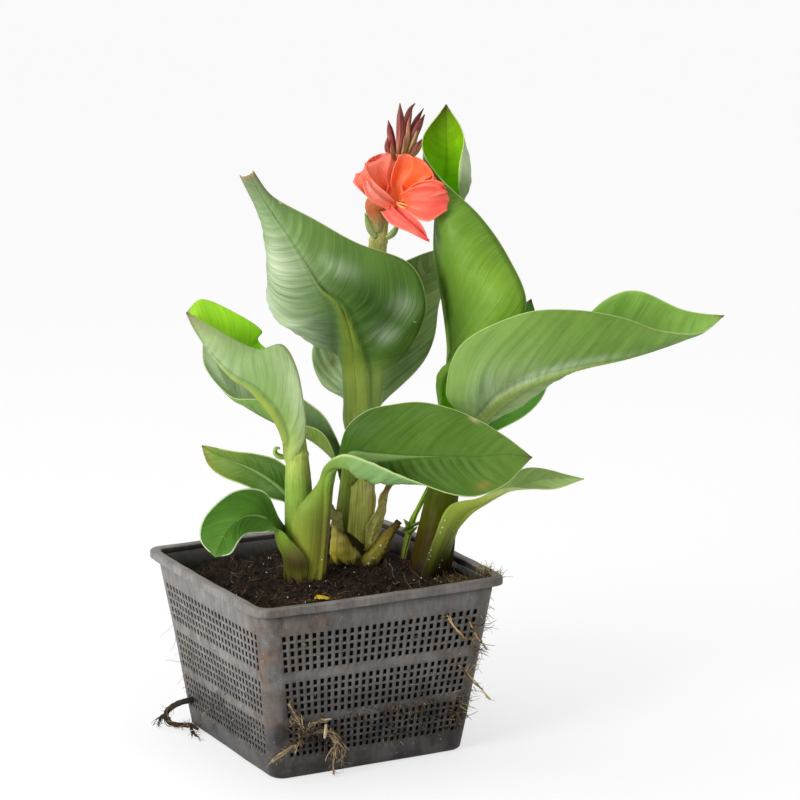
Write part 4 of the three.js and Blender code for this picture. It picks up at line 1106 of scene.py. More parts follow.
def make_veins():
    """Bands, fine lines and side veins that sweep from the rib to the margin."""
    inputs = [("Vein", "Vector", None), ("Lay", "Vector", None), ("Spacing", "Float", 8.0)]
    look, given, out = new_group("side_veins", inputs, ["Bands", "Fine", "Lines", "Height"])
    grain = look.split(given["Vein"])[0]
    lay = look.split(given["Lay"])
    drift = look.times(lay[0], 0.035)

    def swept(step, detail):
        return look.noise(look.joined(look.math("DIVIDE", grain, step), drift, lay[2]), 1.0, detail, 0.6)

    bands = swept(look.times(given["Spacing"], 0.55), 2.0)
    fine = swept(0.9, 1.0)
    gap = look.math("PINGPONG", grain, look.times(given["Spacing"], 0.5))
    lines = look.fade(gap, 0.0, 0.8, 1.0, 0.0)
    height = look.times_plus(fine, 0.22, look.times_plus(lines, 0.12, bands))
    look.fill(out, Bands=look.fade(bands, 0.34, 0.66), Fine=fine, Lines=lines, Height=height)
    return look.tree


def make_mottle():
    """Soft clouds of two sizes, from 0 to 1."""
    inputs = [("Place", "Vector", None), ("Size", "Float", 20.0), ("Contrast", "Float", 1.0)]
    look, given, out = new_group("soft_mottle", inputs, ["Mask"])
    broad = look.noise(given["Place"], look.math("DIVIDE", 1.0, given["Size"]), 4.0, 0.6)
    spread = look.times(look.math("SUBTRACT", broad, 0.5), given["Contrast"])
    look.fill(out, Mask=look.fade(look.plus(spread, 0.5), 0.25, 0.75))
    return look.tree


def make_streaks():
    """Long thin streaks that run along a stalk or a straw."""
    inputs = [("Lay", "Vector", None), ("Across", "Float", 1.2), ("Along", "Float", 30.0)]
    look, given, out = new_group("long_streaks", inputs, ["Mask", "Height"])
    wide, long = (look.math("DIVIDE", 1.0, given[title]) for title in ("Across", "Along"))
    value = look.noise(look.stretched(given["Lay"], look.joined(wide, wide, long)), 1.0, 3.0, 0.6)
    look.fill(out, Mask=look.fade(value, 0.38, 0.62), Height=value)
    return look.tree


def make_specks():
    """Scattered small specks."""
    inputs = [("Place", "Vector", None), ("Size", "Float", 4.0), ("Share", "Float", 0.15)]
    look, given, out = new_group("specks", inputs, ["Mask"])
    scale = look.math("DIVIDE", 1.0, given["Size"])
    cells = look.put("TexVoronoi", {"Vector": given["Place"], "Scale": scale, "Randomness": 1.0}).outputs
    pick = look.put("SeparateColor", {0: cells["Color"]}).outputs[0]
    small = look.fade(cells["Distance"], 0.1, 0.22, 1.0, 0.0)
    look.fill(out, Mask=look.times(small, look.math("LESS_THAN", pick, given["Share"])))
    return look.tree


VEINS = make_veins()
MOTTLE = make_mottle()
STREAKS = make_streaks()
SPECKS = make_specks()

LEAF_FLESH = {"Subsurface Weight": 0.2, "Subsurface Radius": (0.6, 1.0, 0.12), "Subsurface Scale": 0.0014}

# Darker tints that a colour is multiplied by.
CLOUDED = (0.62, 0.68, 0.5, 1)
BANDED = (0.55, 0.62, 0.5, 1)
# painted shadow either side of a leaf's rib
RIB_SHADOW_TINT = (0.5, 0.58, 0.4, 1)
AGED = (0.7, 0.66, 0.5, 1)


def leaf_finish(name, rib, margin, margin_width, spacing, under, banding):
    """A leaf's skin: painted colour, bands along the veins, bloom with painted sheen, painted shade beside
    the rib, rib and margin.
    """
    look = Finish(name, {**LEAF_FLESH, "Specular IOR Level": 0.17 if under else 0.14})
    vein, lay = look.painted("vein")["Vector"], look.painted("lay")["Vector"]
    _, rib_gap, margin_gap = look.split(vein)
    paint = look.painted("paint")
    veins = look.use(VEINS, Vein=vein, Lay=lay, Spacing=spacing)
    clouds = look.mottle(lay, 16.0, 1.6)
    colour = look.coat(paint["Color"], clouds, 0.28, CLOUDED, "MULTIPLY")
    light = look.tint(0.3, colour, "d2e07a")
    colour = look.coat(colour, veins["Bands"], banding, BANDED, "MULTIPLY")
    thin = look.fade(veins["Fine"], 0.5, 0.74)
    colour = look.coat(colour, thin, 0.1, light)
    here_and_there = look.fade(look.noise(lay, 0.05, 1.0), 0.48, 0.62, 0.0, 0.16)
    colour = look.coat(colour, veins["Lines"], here_and_there, light)
    # bloom with painted sheen, broken into stripes along the veins
    bloom = look.times_plus(veins["Bands"], -0.45, look.times_plus(thin, -0.45, 1.0))
    colour = look.coat(colour, paint["Alpha"], bloom, "cdd8bd")
    colour = look.coat(colour, look.specks(lay, 9.0, 0.04), 0.5, "cfc9a0")
    # a thin painted shadow either side of the rib
    rib_shadow = look.fade(rib_gap, 1.4, 2.2, 0.45, 0.0)
    colour = look.coat(colour, look.fade(rib_gap, 1.0, 1.3), rib_shadow, RIB_SHADOW_TINT, "MULTIPLY")
    ribbed = look.fade(look.noise(look.stretched(lay, (1, 0.06, 1)), 0.9, 2.0), 0.4, 0.62, 0.75, 0.45)
    colour = look.coat(colour, look.fade(rib_gap, 0.6, 1.2, 1.0, 0.0), ribbed if under else 0.4, rib)
    edge = look.fade(margin_gap, 0.4 * margin_width, margin_width, 1.0, 0.0)
    colour = look.coat(colour, edge, 0.7, margin)
    rough = look.times_plus(veins["Fine"], 0.1, look.times_plus(clouds, 0.12, 0.36 if under else 0.4))
    height = look.times_plus(look.noise(lay, 2.2, 2.0), 0.08, veins["Height"])
    return look.done(colour, rough, height, 0.7, 0.8)


def fibre_finish(name, constants, across, streak, strong, roughness, bump, speck=0.0, lengthwise=30.0):
    """A skin with long fibres: stalks, sheaths, straw and roots. The colour is painted."""
    look = Finish(name, constants)
    lay = look.painted("lay")["Vector"]
    fibres = look.use(STREAKS, Lay=lay, Across=across, Along=lengthwise)
    broad = look.use(STREAKS, Lay=lay, Across=across * 4, Along=lengthwise * 2)
    clouds = look.mottle(lay, 9.0, 1.5)
    colour = look.coat(look.painted("paint")["Color"], fibres["Mask"], strong, streak, "MULTIPLY")
    colour = look.coat(colour, broad["Mask"], strong * 0.8, streak, "MULTIPLY")
    colour = look.coat(colour, clouds, 0.25, AGED, "MULTIPLY")
    if speck:
        colour = look.tint(look.specks(lay, 5.0, speck), colour, "efe9d6")
    return look.done(
        colour, look.times_plus(clouds, 0.2, roughness), look.plus(fibres["Height"], broad["Height"]), bump,
    )


def petal_finish():
    """Thin silky petals with faint veins."""
    flesh = {"Subsurface Weight": 0.4, "Subsurface Radius": (1.0, 0.35, 0.25), "Subsurface Scale": 0.0015}
    look = Finish("petal", flesh)
    lay = look.painted("lay")["Vector"]
    fibres = look.use(STREAKS, Lay=look.stretched(lay, (1, 0, 1)), Across=1.0, Along=18.0)
    thin = look.noise(look.joined(look.split(lay)[0]), 1.1, 2.0)
    clouds = look.mottle(lay, 7.0, 1.6)
    colour = look.coat(look.painted("paint")["Color"], clouds, 0.28, "f4584a")
    colour = look.tint(look.fade(thin, 0.5, 0.7, 0.0, 0.2), colour, "ee4c40")
    margin_gap = look.split(look.painted("vein")["Vector"])[2]
    colour = look.tint(look.fade(margin_gap, 0.2, 1.6, 0.5, 0.0), colour, "ff9078")
    return look.done(colour, look.times_plus(clouds, 0.15, 0.42), look.plus(thin, fibres["Height"]), 0.3)


def plastic_finish(name, painted_shade_scale):
    """Weathered charcoal plastic with a dusty film, which on the left face is partly painted light, scuffs,
    streaks and mud; a scale below 1 darkens it all as painted shade.
    """
    look = Finish(name, {"Specular IOR Level": 0.4})
    place = look.painted("lay")["Vector"]
    muddy, dust_and_light_share, _ = look.split(look.painted("vein")["Vector"])
    film = look.mottle(place, 18.0, 2.0)
    fine, runs, mud, rust = (
        look.mottle(look.stretched(place, (1, 1, tall)), size, contrast)
        for tall, size, contrast in ((0.3, 3.0, 1.6), (0.16, 2.4, 1.8), (0.8, 11.0, 1.5), (0.7, 7.0, 1.3))
    )
    colour = look.coat(look.painted("paint")["Color"], film, 0.35, "7c7a78")
    colour = look.coat(colour, fine, 0.32, "202022")
    streaky = look.times_plus(runs, 0.5, look.times_plus(film, 0.5, 0.12))
    # the film is dust, and on the left face partly painted light
    colour = look.coat(colour, look.times(streaky, dust_and_light_share), 0.62, "96928f")
    lift = look.split(look.put("NewGeometry").outputs["Normal"])[2]
    colour = look.coat(colour, look.fade(lift, 0.3, 0.9), look.times_plus(film, 0.4, 0.27), "8f887f")
    mud = look.times(mud, muddy)
    colour = look.tint(mud, colour, look.tint(rust, (*linear("2a221c"), 1), "74553a"))
    colour = look.coat(colour, look.specks(place, 3.0, 0.14), 0.6, "aaa292")
    # painted shade: the colour scaled down, for the inside faces
    colour = look.stretched(colour, (painted_shade_scale, painted_shade_scale, painted_shade_scale))
    rough = look.times_plus(mud, 0.3, look.times_plus(film, 0.25, 0.28))
    return look.done(colour, rough, look.times_plus(look.noise(place, 1.6), 0.6, mud), 0.35)


def soil_finish():
    """Dark fibrous peat."""
    look = Finish("peat", {"Specular IOR Level": 0.25})
    place = look.painted("lay")["Vector"]
    crumbs = look.mottle(place, 2.2, 2.0)
    threads = look.noise(look.stretched(place, (0.9, 0.25, 0.6)), 1.2, 3.0, 0.7)
    colour = look.coat(look.painted("paint")["Color"], crumbs, 0.5, "4c3828")
    colour = look.coat(colour, look.mottle(place, 14.0, 2.0), 0.5, "150d09")
    colour = look.tint(look.fade(threads, 0.58, 0.68, 0.0, 0.4), colour, "705038")
    return look.done(colour, look.times_plus(crumbs, 0.2, 0.75), look.plus(crumbs, threads), 1.0)


def crumb_finish(name, roughness, shade, strong):
    """Small loose things whose colour is painted: crumbs and perlite."""
    look = Finish(name, {"Specular IOR Level": 0.3})
    clouds = look.mottle(look.painted("lay")["Vector"], 1.2, 2.0)
    colour = look.coat(look.painted("paint")["Color"], clouds, strong, shade, "MULTIPLY")
    return look.done(colour, look.times_plus(clouds, 0.1, roughness), clouds, 0.3)


def floor_finish():
    """White paper. The camera sees it glow like a light table; it still lights the plant as paper does."""
    look = Finish("pale_floor", {"Roughness": 0.7, "Specular IOR Level": 0.1, "Emission Color": (1, 1, 1, 1)})
    place = look.put("NewGeometry").outputs["Position"]
    away = look.put("VectorMath", {0: place}, operation="LENGTH").outputs["Value"]
    seen = look.put("LightPath").outputs["Is Camera Ray"]
    paper, glow = (look.fade(away, 0.15, 0.55, by_pot, far) for by_pot, far in ((0.36, 0.14), (0.65, 0.86)))
    shade = look.times_plus(seen, look.math("SUBTRACT", paper, PAPER), PAPER)
    values = {"Base Color": look.joined(shade, shade, shade), "Emission Strength": look.times(glow, seen)}
    look.fill(look.shader.inputs, **values)
    return look.material


# ---------------------------------------------------------------- the camera, the light and the floor

AZIMUTH = math.radians(-27.75)
ELEVATION = math.radians(11.99)
DISTANCE = 2014
TO_RIGHT = 51.2  # the view's middle, to the right of the basket's axis
MIDDLE_HEIGHT = 233
LENS = 136.7  # on a 36 mm sensor
WHITE = 0.97  # the brightness of the pale ground all round
ROOM_LIGHT = 0.42
ROOM_SHINE = 0.56
PAPER = 0.9  # how much light the floor throws back
FLOOR_HALF = 14  # in metres
SOFT_BOXES = {  # place, aim and size in metres, and power in watts
    "overhead": ((-0.1, 0.3, 1.9), (0, 0, 0.1), (1.3, 1.3), 12),
    "left": ((-1.9, -0.6, 0.8), (0, 0, 0.2), (0.9, 1.2), 38),
    "right_front": ((0.9, -1.9, 1.3), (0, 0, 0.2), (0.7, 0.7), 3),
}


def add_object(name, data):
    thing = bpy.data.objects.new(name, data)
    bpy.context.scene.collection.objects.link(thing)
    return thing


def set_camera():
    right = Vector((math.cos(AZIMUTH), math.sin(AZIMUTH), 0))
    level = math.cos(ELEVATION)
    back = Vector((math.sin(AZIMUTH) * level, -math.cos(AZIMUTH) * level, math.sin(ELEVATION)))
    camera = add_object("camera", bpy.data.cameras.new("camera"))
    camera.data.lens = LENS
    camera.data.sensor_width = 36
    camera.data.clip_end = 60
    target = right * TO_RIGHT + Vector((0, 0, MIDDLE_HEIGHT))
    turn = Matrix([right, back.cross(right), back]).transposed().to_4x4()
    camera.matrix_world = Matrix.Translation((target + back * DISTANCE) * MM) @ turn
    bpy.context.scene.camera = camera


def set_light():
    """A white room that lights the plant less than it shows itself, and soft boxes above and at the left."""
    scene = bpy.context.scene
    scene.world = bpy.data.worlds.new("white_room")
    scene.world.use_nodes = True
    look = Nodes(scene.world.node_tree)
    path = look.put("LightPath").outputs
    lit = look.times_plus(path["Is Glossy Ray"], ROOM_SHINE - ROOM_LIGHT, ROOM_LIGHT)
    strength = look.times_plus(path["Is Camera Ray"], WHITE - ROOM_LIGHT, lit)
    look.fill(look.tree.nodes["Background"].inputs, Strength=strength, Color=(1, 1, 1, 1))
    for name, (place, aim, size, power) in SOFT_BOXES.items():
        lamp = bpy.data.lights.new(name, "AREA")
        lamp.shape = "RECTANGLE"
        lamp.size, lamp.size_y = size
        lamp.energy = power
        box = add_object(name, lamp)
        box.location = place
        box.rotation_euler = (Vector(aim) - Vector(place)).to_track_quat("-Z", "Y").to_euler()
    scene.view_settings.view_transform = "Standard"
    scene.view_settings.look = "None"
    scene.view_settings.exposure = 0
    scene.view_settings.gamma = 1


def make_floor():
    mesh = bpy.data.meshes.new("floor")
    corners = [(x * FLOOR_HALF, y * FLOOR_HALF, 0) for x, y in ((-1, -1), (1, -1), (1, 1), (-1, 1))]
    mesh.from_pydata(corners, [], [(0, 1, 2, 3)])
    mesh.materials.append(floor_finish())
    add_object("floor", mesh)


# ---------------------------------------------------------------- the basket


def taper(z):
    """Half the basket's outer width at a height."""
    return BASKET["foot_half"] + (MOUTH_HALF - BASKET["foot_half"]) * z / BASKET["height"]


def mesh_half(z):
    """Half the width of the mesh in a wall at a height."""
    return taper(z) - BASKET["corner"] - 2


def round_square(sides, arc, half, radius, z):
    """A square ring with round corners. sides are places along one side, as shares of its straight half."""
    ring = []
    straight = half - radius
    bow = BASKET["bow"] * (z / BASKET["height"]) ** 2
    for side in range(4):
        c, s = math.cos(side * math.pi / 2), math.sin(side * math.pi / 2)
        local = [(x * straight, -half - bow * (1 - x * x)) for x in sides]
        for k in range(1, arc):
            a = math.pi / 2 * k / arc
            local.append((straight + radius * math.sin(a), -straight - radius * math.cos(a)))
        ring += [(x * c - y * s, x * s + y * c, z) for x, y in local]
    return ring


def basket_levels():
    """The heights of the wall's rings, and whether openings stand between each ring and the next."""
    heights, open_above = [0, 1, 2, 8], [False] * 4
    for low, high in MESH_BANDS:
        pitch = (high - low) / MESH_ROWS
        heights.append(low - BAND_EDGE)
        open_above.append(False)
        for row in range(MESH_ROWS):
            middle = low + (row + 0.5) * pitch
            heights += [middle - HOLE_TALL * pitch / 2, middle + HOLE_TALL * pitch / 2]
            open_above += [True, False]
        heights.append(high + BAND_EDGE)
        open_above.append(False)
    return heights + [109, 117.5], open_above + [False, False]


def make_basket(plastic, inside):
    skin = Skin()
    corner = BASKET["corner"]
    heights, open_above = basket_levels()
    outer, inner = [], []
    for z in heights:
        inset = 2 * (1 - z) + 0.6 if z < 1 else (0.6 if z < 2 else 0)
        half = taper(z) - inset
        pitch = 2 * mesh_half(z) / MESH_COLUMNS
        middles = [(k - (MESH_COLUMNS - 1) / 2) * pitch for k in range(MESH_COLUMNS)]
        edges = [m + e * HOLE_WIDE * pitch / 2 for m in middles for e in (-1, 1)]
        sides = [-1, *(e / (half - corner) for e in edges), 1]
        outer.append(round_square(sides, ARC, half, corner, z))
        wall = BASKET["web"] if MESH_BANDS[0][0] - 3 < z < MESH_BANDS[-1][1] + 3 else BASKET["wall"]
        inner.append(round_square(sides, ARC, half - wall, corner - wall, z))
    around = len(outer[0])
    points = np.concatenate([np.array(outer).reshape(-1, 3), np.array(inner).reshape(-1, 3)])
    points[:, :2] += 0.25 * joined(wander(points, 60, 3), wander(points, 60, 4))
    skip = len(heights) * around
    faces, hidden = [], []
    for row in range(len(heights) - 1):
        for q in range(around):
            nxt = (q + 1) % around
            a, b = row * around + q, row * around + nxt
            c, d = b + around, a + around
            place = q % (around // 4)
            if open_above[row] and place % 2 == 1 and place < 2 * MESH_COLUMNS:
                hidden += [[p, r, skip + r, skip + p] for p, r in ((a, b), (b, c), (c, d), (d, a))]
            else:
                faces.append([a, b, c, d])
                hidden.append([skip + d, skip + c, skip + b, skip + a])
    top = (len(heights) - 1) * around
    for q in range(around):
        nxt = (q + 1) % around
        faces.append([nxt, q, skip + q, skip + nxt])
        faces.append([top + q, top + nxt, skip + top + nxt, skip + top + q])
    add_plastic(skin, points, faces + hidden, [0] * len(faces) + [1] * len(hidden))

    sides = np.linspace(-1, 1, 25)
    rim = np.array([round_square(sides, 8, MOUTH_HALF + out, corner + out * 0.4, z) for out, z in RIM])
    rim[..., 2] += 0.18 * wander(rim, 26, 8)
    n = rim.shape[1]
    faces = []
    for i in range(len(RIM)):
        for j in range(n):
            nxt, above = (j + 1) % n, ((i + 1) % len(RIM)) * n
            faces.append([i * n + j, above + j, above + nxt, i * n + nxt])
    add_plastic(skin, rim.reshape(-1, 3), faces, [1] * n + [0] * (len(faces) - n))

    ends = (0.3, BASKET["floor"])
    plate = np.array([round_square([-1, 0, 1], ARC, taper(z) - 2.2, corner - 2, z) for z in ends])
    n = plate.shape[1]
    add_plastic(skin, plate.reshape(-1, 3), grid_faces(2, n, closed=True) + end_caps(2, n))
    skin.piece("mesh_basket", "basket", "basket", [plastic, inside])


def add_plastic(skin, points, faces, finish=0):
    """Add faces of the basket, painted dark at the foot, muddy where soil has run down, and lighter on the
    left face, partly from dust and partly as painted light.
    """
    x, y, z = points.T
    base = ramp(["26272a", "26262a", "333334", "575553", "5f5c59", "5c5a58", "5e5c59"], z / BASKET["height"])
    corner = near(x, -80, 14) * near(y, -78, 16)
    streak = near(x, -45, 20) * near(y, -88, 6) * near(z, 106, 9)
    right = near(x, 78, 12) * near(y, -84, 10) * smooth(z, 40, 60)
    strips = 0.35 * near(z, 72, 3) + 0.3 * near(z, 40, 3)  # between the bands of openings
    damp = np.minimum(near(x, -56, 34) + 0.7 * near(x, 45, 30), 1)
    damp = damp * smooth(-y, 60, 72) * (1 - smooth(z, 36, 58))
    # the left face gets more film: partly dust, partly painted light from the lamp at the left
    left_face_dust_and_light = smooth(-x, 60, 75) * (0.48 + 0.38 * smooth(z, 35, 85))
    base = base * ((1 - 0.5 * damp) * (1 - 0.4 * corner))[:, None]
    mud = np.clip(0.2 + 0.45 * corner * smooth(z, 15, 50) + 0.7 * streak + 0.3 * right + 0.6 * strips, 0, 1)
    dust_and_light = 0.15 + (0.42 - 0.2 * right) * smooth(z, 96, 116) + 1.2 * strips + left_face_dust_and_light
    dust_and_light = dust_and_light * (0.35 + 0.65 * smooth(z, 14, 40)) * (1 - 0.75 * corner) * (1 - 0.7 * damp)
    skin.add(points, faces, finish, base, points, joined(mud, dust_and_light, 0))


# ---------------------------------------------------------------- the soil


def soil_height(x, y):
    """The soil's surface: gently mounded and lumpy, but even round the feet of the shoots."""
    out = np.minimum(np.hypot(x, y) / taper(SOIL_LEVEL), 1.3)
    rough = np.ones_like(out)
    for fx, fy in FEET:
        rough = np.minimum(rough, smooth(np.hypot(x - fx, y - fy), 18, 32))
    waves = np.sin(x / 7.3 + 1.7 * np.sin(y / 11)) + np.sin(y / 6.1 + 1.3 * np.sin(x / 9))
    from_heap = (x - HEAP["at"][0]) ** 2 + (y - HEAP["at"][1]) ** 2
    heaped = HEAP["height"] * np.exp(-from_heap / HEAP["reach"] ** 2)
    level = SOIL_LEVEL + rough * (heaped + 0.5 * SOIL_LUMP * waves - SOIL_FALL * out**2)
    return level + sum(MOUND * np.exp(-((x - fx) ** 2 + (y - fy) ** 2) / 18**2) for fx, fy in MOUNDED)


def make_soil(peat):
    skin = Skin()
    cells = 121
    inset = BASKET["wall"] + 0.4
    half = taper(SOIL_LEVEL) - inset
    u, v = np.meshgrid(*[np.linspace(-1, 1, cells)] * 2, indexing="ij")
    squeeze = 1 - 0.045 * (u**8) * (v**8)  # round the corners
    x, y = u * half * squeeze, v * half * squeeze
    flat = joined(x, y, 0)
    calm = np.ones_like(x)
    for fx, fy in FEET:
        calm = np.minimum(calm, 0.35 + 0.65 * smooth(np.hypot(x - fx, y - fy), 13, 22))
    clods = calm * (1.3 * wander(flat, 9, 21) + 0.9 * wander(flat, 4.5, 22) + 0.6 * wander(flat, 2.6, 23))
    z = soil_height(x, y) + clods - 1.2 * np.maximum(wander(flat, 13, 24), 0)
    paint = ramp(["120b07", "1e130c", "2b1c12"], np.clip(0.5 + 0.35 * wander(flat, 7, 25), 0, 1))
    skin.add(joined(x, y, z), grid_faces(cells, cells, flip=True), 0, paint)

    # The sides, seen through the mesh.
    levels, sides = np.linspace(3, 106, 60), np.linspace(-1, 1, 60)
    wall = np.array([round_square(sides, 4, taper(z) - inset, BASKET["corner"] - inset, z) for z in levels])
    inward = unit(-wall * (1, 1, 0))
    wall = wall + inward * (1.2 + 1.1 * wander(wall, 5, 26) + 0.6 * wander(wall, 2.5, 27))[..., None]
    rows, n = wall.shape[:2]
    paint = ramp(["0c0806", "18100b", "2a1d14"], np.clip(0.4 + 0.4 * wander(wall, 8, 28), 0, 1))
    skin.add(wall, grid_faces(rows, n, closed=True) + end_caps(rows, n), 0, paint)
    skin.piece("peat_soil", "soil", "soil", [peat])


def lump(skin, at, size, colour, seed):
    """Add one small irregular lump."""
    rng = np.random.default_rng(seed)
    third, sixth = 2.0944, 1.047  # of a turn
    turns = [(0, 0, 1), (0, 0, -1)] + [
        (math.cos(k * third + h * sixth) * 0.9, math.sin(k * third + h * sixth) * 0.9, h * 0.6 - 0.3)
        for h in (0, 1) for k in range(3)
    ]
    points = np.array(turns) * size * rng.uniform(0.55, 1.15, (8, 1)) * rng.uniform(0.6, 1.2, 3) + at
    faces = [
        [1, 3, 2], [1, 4, 3], [1, 2, 4], [0, 5, 6], [0, 6, 7], [0, 7, 5],
        [2, 3, 5], [3, 6, 5], [3, 4, 6], [4, 7, 6], [4, 2, 7], [2, 5, 7],
    ]
    skin.add(points, faces, 0, colour)


def hair(skin, start, way, length, radius, colour, seed, bend=0.5, floor=None):
    """Add one thin curling hair, fibre or straw that stays above a floor, a height at each place."""
    rng = np.random.default_rng(seed)
    steps = 6
    points = [np.array(start, float)]
    way = unit(np.array(way, float))
    for _ in range(steps):
        way = unit(way + bend * rng.normal(size=3) * 0.5)
        step = points[-1] + way * length / steps
        if floor:
            step[2] = max(step[2], floor(step[0], step[1]))
        points.append(step)
    points = np.array(points)
    ahead = unit(np.gradient(points, axis=0))
    across = unit(np.cross(ahead, (0.3, 0.5, 0.81)))
    other = np.cross(ahead, across)
    r = radius * np.linspace(1, 0.45, steps + 1)[:, None]
    turns = (0, 2.094, 4.189)
    rings = np.stack([points + r * (math.cos(a) * across + math.sin(a) * other) for a in turns], axis=1)
    skin.add(rings, grid_faces(steps + 1, 3, closed=True) + end_caps(steps + 1, 3), 0, colour)


def ground(x, y):
    return float(soil_height(np.array(float(x)), np.array(float(y))))


def above_ground(x, y):
    return ground(x, y) + 0.4


def above_paper(x, y):
    return 0.6


def make_litter(crumb, perlite, straw):
    """Crumbs, fibres and perlite that lie on the soil."""
    rng = np.random.default_rng(41)
    crumbs, fibres, grains = Skin(), Skin(), Skin()
    reach = 80
    browns = palette("160f0a", "241910", "3a2a1c", "503a28", "2e2116")
    for k in range(1500):
        x, y = rng.uniform(-reach, reach, 2)
        size = rng.uniform(0.5, 1.8) * (1.9 if rng.random() < 0.12 else 1)
        lump(crumbs, (x, y, ground(x, y) + rng.uniform(-0.2, 1.4)), size, browns[rng.integers(5)], 1000 + k)
    tans = palette("5a4028", "8a6c48", "3e2c1e", "b09468", "4c3624")
    for k in range(420):
        x, y = rng.uniform(-reach, reach, 2)
        way = (*rng.normal(size=2), rng.uniform(-0.1, 0.35))
        length, radius = rng.uniform(4, 16), rng.uniform(0.12, 0.3)
        start = (x, y, ground(x, y) + 1)
        hair(fibres, start, way, length, radius, tans[rng.integers(5)], 3000 + k, 0.7, above_ground)
    white = linear("faf8f2")
    for k in range(70):
        x, y = rng.uniform(-reach, reach, 2)
        lump(grains, (x, y, ground(x, y) + 1.6), rng.uniform(0.35, 0.8), white, 5000 + k)
    toward = np.array([math.cos(FACING), math.sin(FACING), 0])
    for k in range(60):  # grains that cling to the feet of leaves
        name, row = STUCK[k % len(STUCK)]
        low, high = (np.array(LEAVES[name]["stations"][row + step][:3], float) for step in (0, 1))
        _, across, up = rng.uniform(0, (1, 1, 0.8))  # the first draw is spare
        foot, head = (end[1] + (end[2] - end[1]) * across for end in (low, high))
        spot = foot + (head - foot) * up
        lump(grains, spot + toward * 2.2, rng.uniform(0.35, 0.7), white, 5200 + k)
    for k in range(700):  # crumbs drawn up against the feet
        fx, fy = FEET[rng.integers(5)]
        turn, out = rng.uniform(0, 2 * math.pi), rng.normal(14, 3)
        x, y = fx + out * math.cos(turn), fy + out * math.sin(turn)
        size = rng.uniform(0.5, 1.5)
        lump(crumbs, (x, y, ground(x, y) + rng.uniform(-0.5, 0.9)), size, browns[rng.integers(4)], 9000 + k)
    mosses = palette("6c662e", "847a3c", "544c24", "b09c64", "80603c")
    for k in range(420):
        x, y = rng.normal(HEAP["at"][0] - 4, 11), rng.normal(HEAP["at"][1] + 2, 8)
        if abs(x) > 86 or abs(y) > 84:
            continue
        way = (*rng.normal(size=2), rng.uniform(0.2, 1.4))
        start = (x, y, ground(x, y) - 0.5)
        length, radius = rng.uniform(2.5, 8), rng.uniform(0.15, 0.35)
        hair(fibres, start, way, length, radius, mosses[rng.integers(5)], 9800 + k, 0.8)
    crumbs.piece("soil_crumbs", None, "soil", [crumb], sharp=True)
    fibres.piece("soil_fibres", None, "straw", [straw])
    grains.piece("perlite_grains", None, "soil", [perlite], sharp=True)


# ---------------------------------------------------------------- the plant


def make_shoots(stalk, old):
    for name, spec in SHOOTS.items():
        skin = Skin()
        line, rings = spec["line"], spec["rings"]
        tube(skin, line, spec["radii"], spec["colours"], 96, 160, 0.14, rings, 0.04, len(name))
        lines, radii, colours, sides, steps, flat, seed = GROWTHS[name]
        for k, line in enumerate(lines, seed):
            tube(skin, line, radii, colours, sides, steps, 0.05, seed=k, flat=flat)
        skin.piece("shoot_of_" + name, "shoot_" + name, "shoot", [stalk], muddy=True)
    skin = Skin()
    tube(skin, STUB["line"], STUB["radii"], STUB["colours"], 64, 60, 0.2, rough=0.3, seed=4)
    skin.piece("old_stub", "cut_stub", "old_sheath", [old], muddy=True)


def make_leaves():
    for k, (name, spec) in enumerate(LEAVES.items(), 1):
        shared = spec.get("margin", "c3d18c"), spec.get("margin_width", 0.6), spec["spacing"]
        banding = spec.get("banding", 0.35)
        upper = leaf_finish(name + "_upper", "9dbf74", *shared, False, banding)
        under = leaf_finish(name + "_under", spec["rib"], *shared, True, banding)
        skin = Skin()
        blade(skin, spec, seed=k)
        skin.piece("blade_" + name, "leaf_" + name, "leaf", [upper, under], muddy=True)


def make_sheaths(old, dry):
    for k, (name, spec) in enumerate(WRAPS.items(), 20):
        skin = Skin()
        wrap(skin, spec, k)
        if name == "front":
            blade(skin, FLAP, rows=24, columns=12, finishes=(0, 0), seed=33)
        material, slot = (dry, "dry_sheath") if name == "dry" else (old, "old_sheath")
        skin.piece("sheath_of_" + name, "sheath_" + name, slot, [material], muddy=True)
    skin = Skin()
    blade(skin, SIDE_SHEATH, rows=60, columns=18, thickness=0.7, finishes=(0, 0), seed=30)
    skin.piece("sheath_of_side", "sheath_side", "old_sheath", [old])


def make_flower(petal, calyx):
    skin = Skin()
    for k, spec in enumerate(PETALS.values(), 40):
        full = {**spec, "flutter": 1.5, "relief": 0.35, "spacing": 3, "rumple": 1.0}
        blade(skin, full, rows=54, columns=18, thickness=0.5, swell=(-2.5, -2.5), finishes=(0, 0), seed=k)
    tube(skin, CALYX["line"], CALYX["radii"], CALYX["colours"], 40, 40, 0.1, rough=0.2, finish=1)
    for k, line in enumerate(STAMENS):
        tube(skin, line, [0.5, 0.6, 0.5], ["ffb060", "ffd070", "f0b050"], 10, 14, seed=k, finish=1)
    skin.piece("open_flower", "flower", "flower", [petal, calyx])


def make_buds(bud):
    skin = Skin()
    tube(skin, SPIKE["line"], SPIKE["radii"], ["a58c56", "8f5a3c", "7a3a30"], 24, 12, 0.1)
    colours = ["dcac68", "d88870", "c46458", "a44a40", "803a34"]
    for k, (line, girth) in enumerate(BUDS):
        tube(skin, line, [girth * share for share in BUD_SHAPE], colours, 28, 30, 0.12, seed=k, flat=0.75)
    tans = ["b8a850", "d0a868", "e09c70", "b86a50"]
    for k, line in enumerate(TAN_BRACTS, 30):
        tube(skin, line, [1.5, 1.9, 1.3, 0.2], tans, 16, 24, 0.1, seed=k, flat=0.55)
    skin.piece("bud_spike_fine", "bud_spike", "bud", [bud])


def opening(side, row, column, out):
    """The middle of one coarse opening of the mesh, in the front (F) or the left (L) wall."""
    low, high = MESH_BANDS[2 - row // 2]
    z = high - (row % 2 + 0.5) * (high - low) / 2
    x = (column - 4) * 2 * mesh_half(z) / 9
    y = -taper(z) - out
    return (x, y, z) if side == "F" else (y, -x, z)


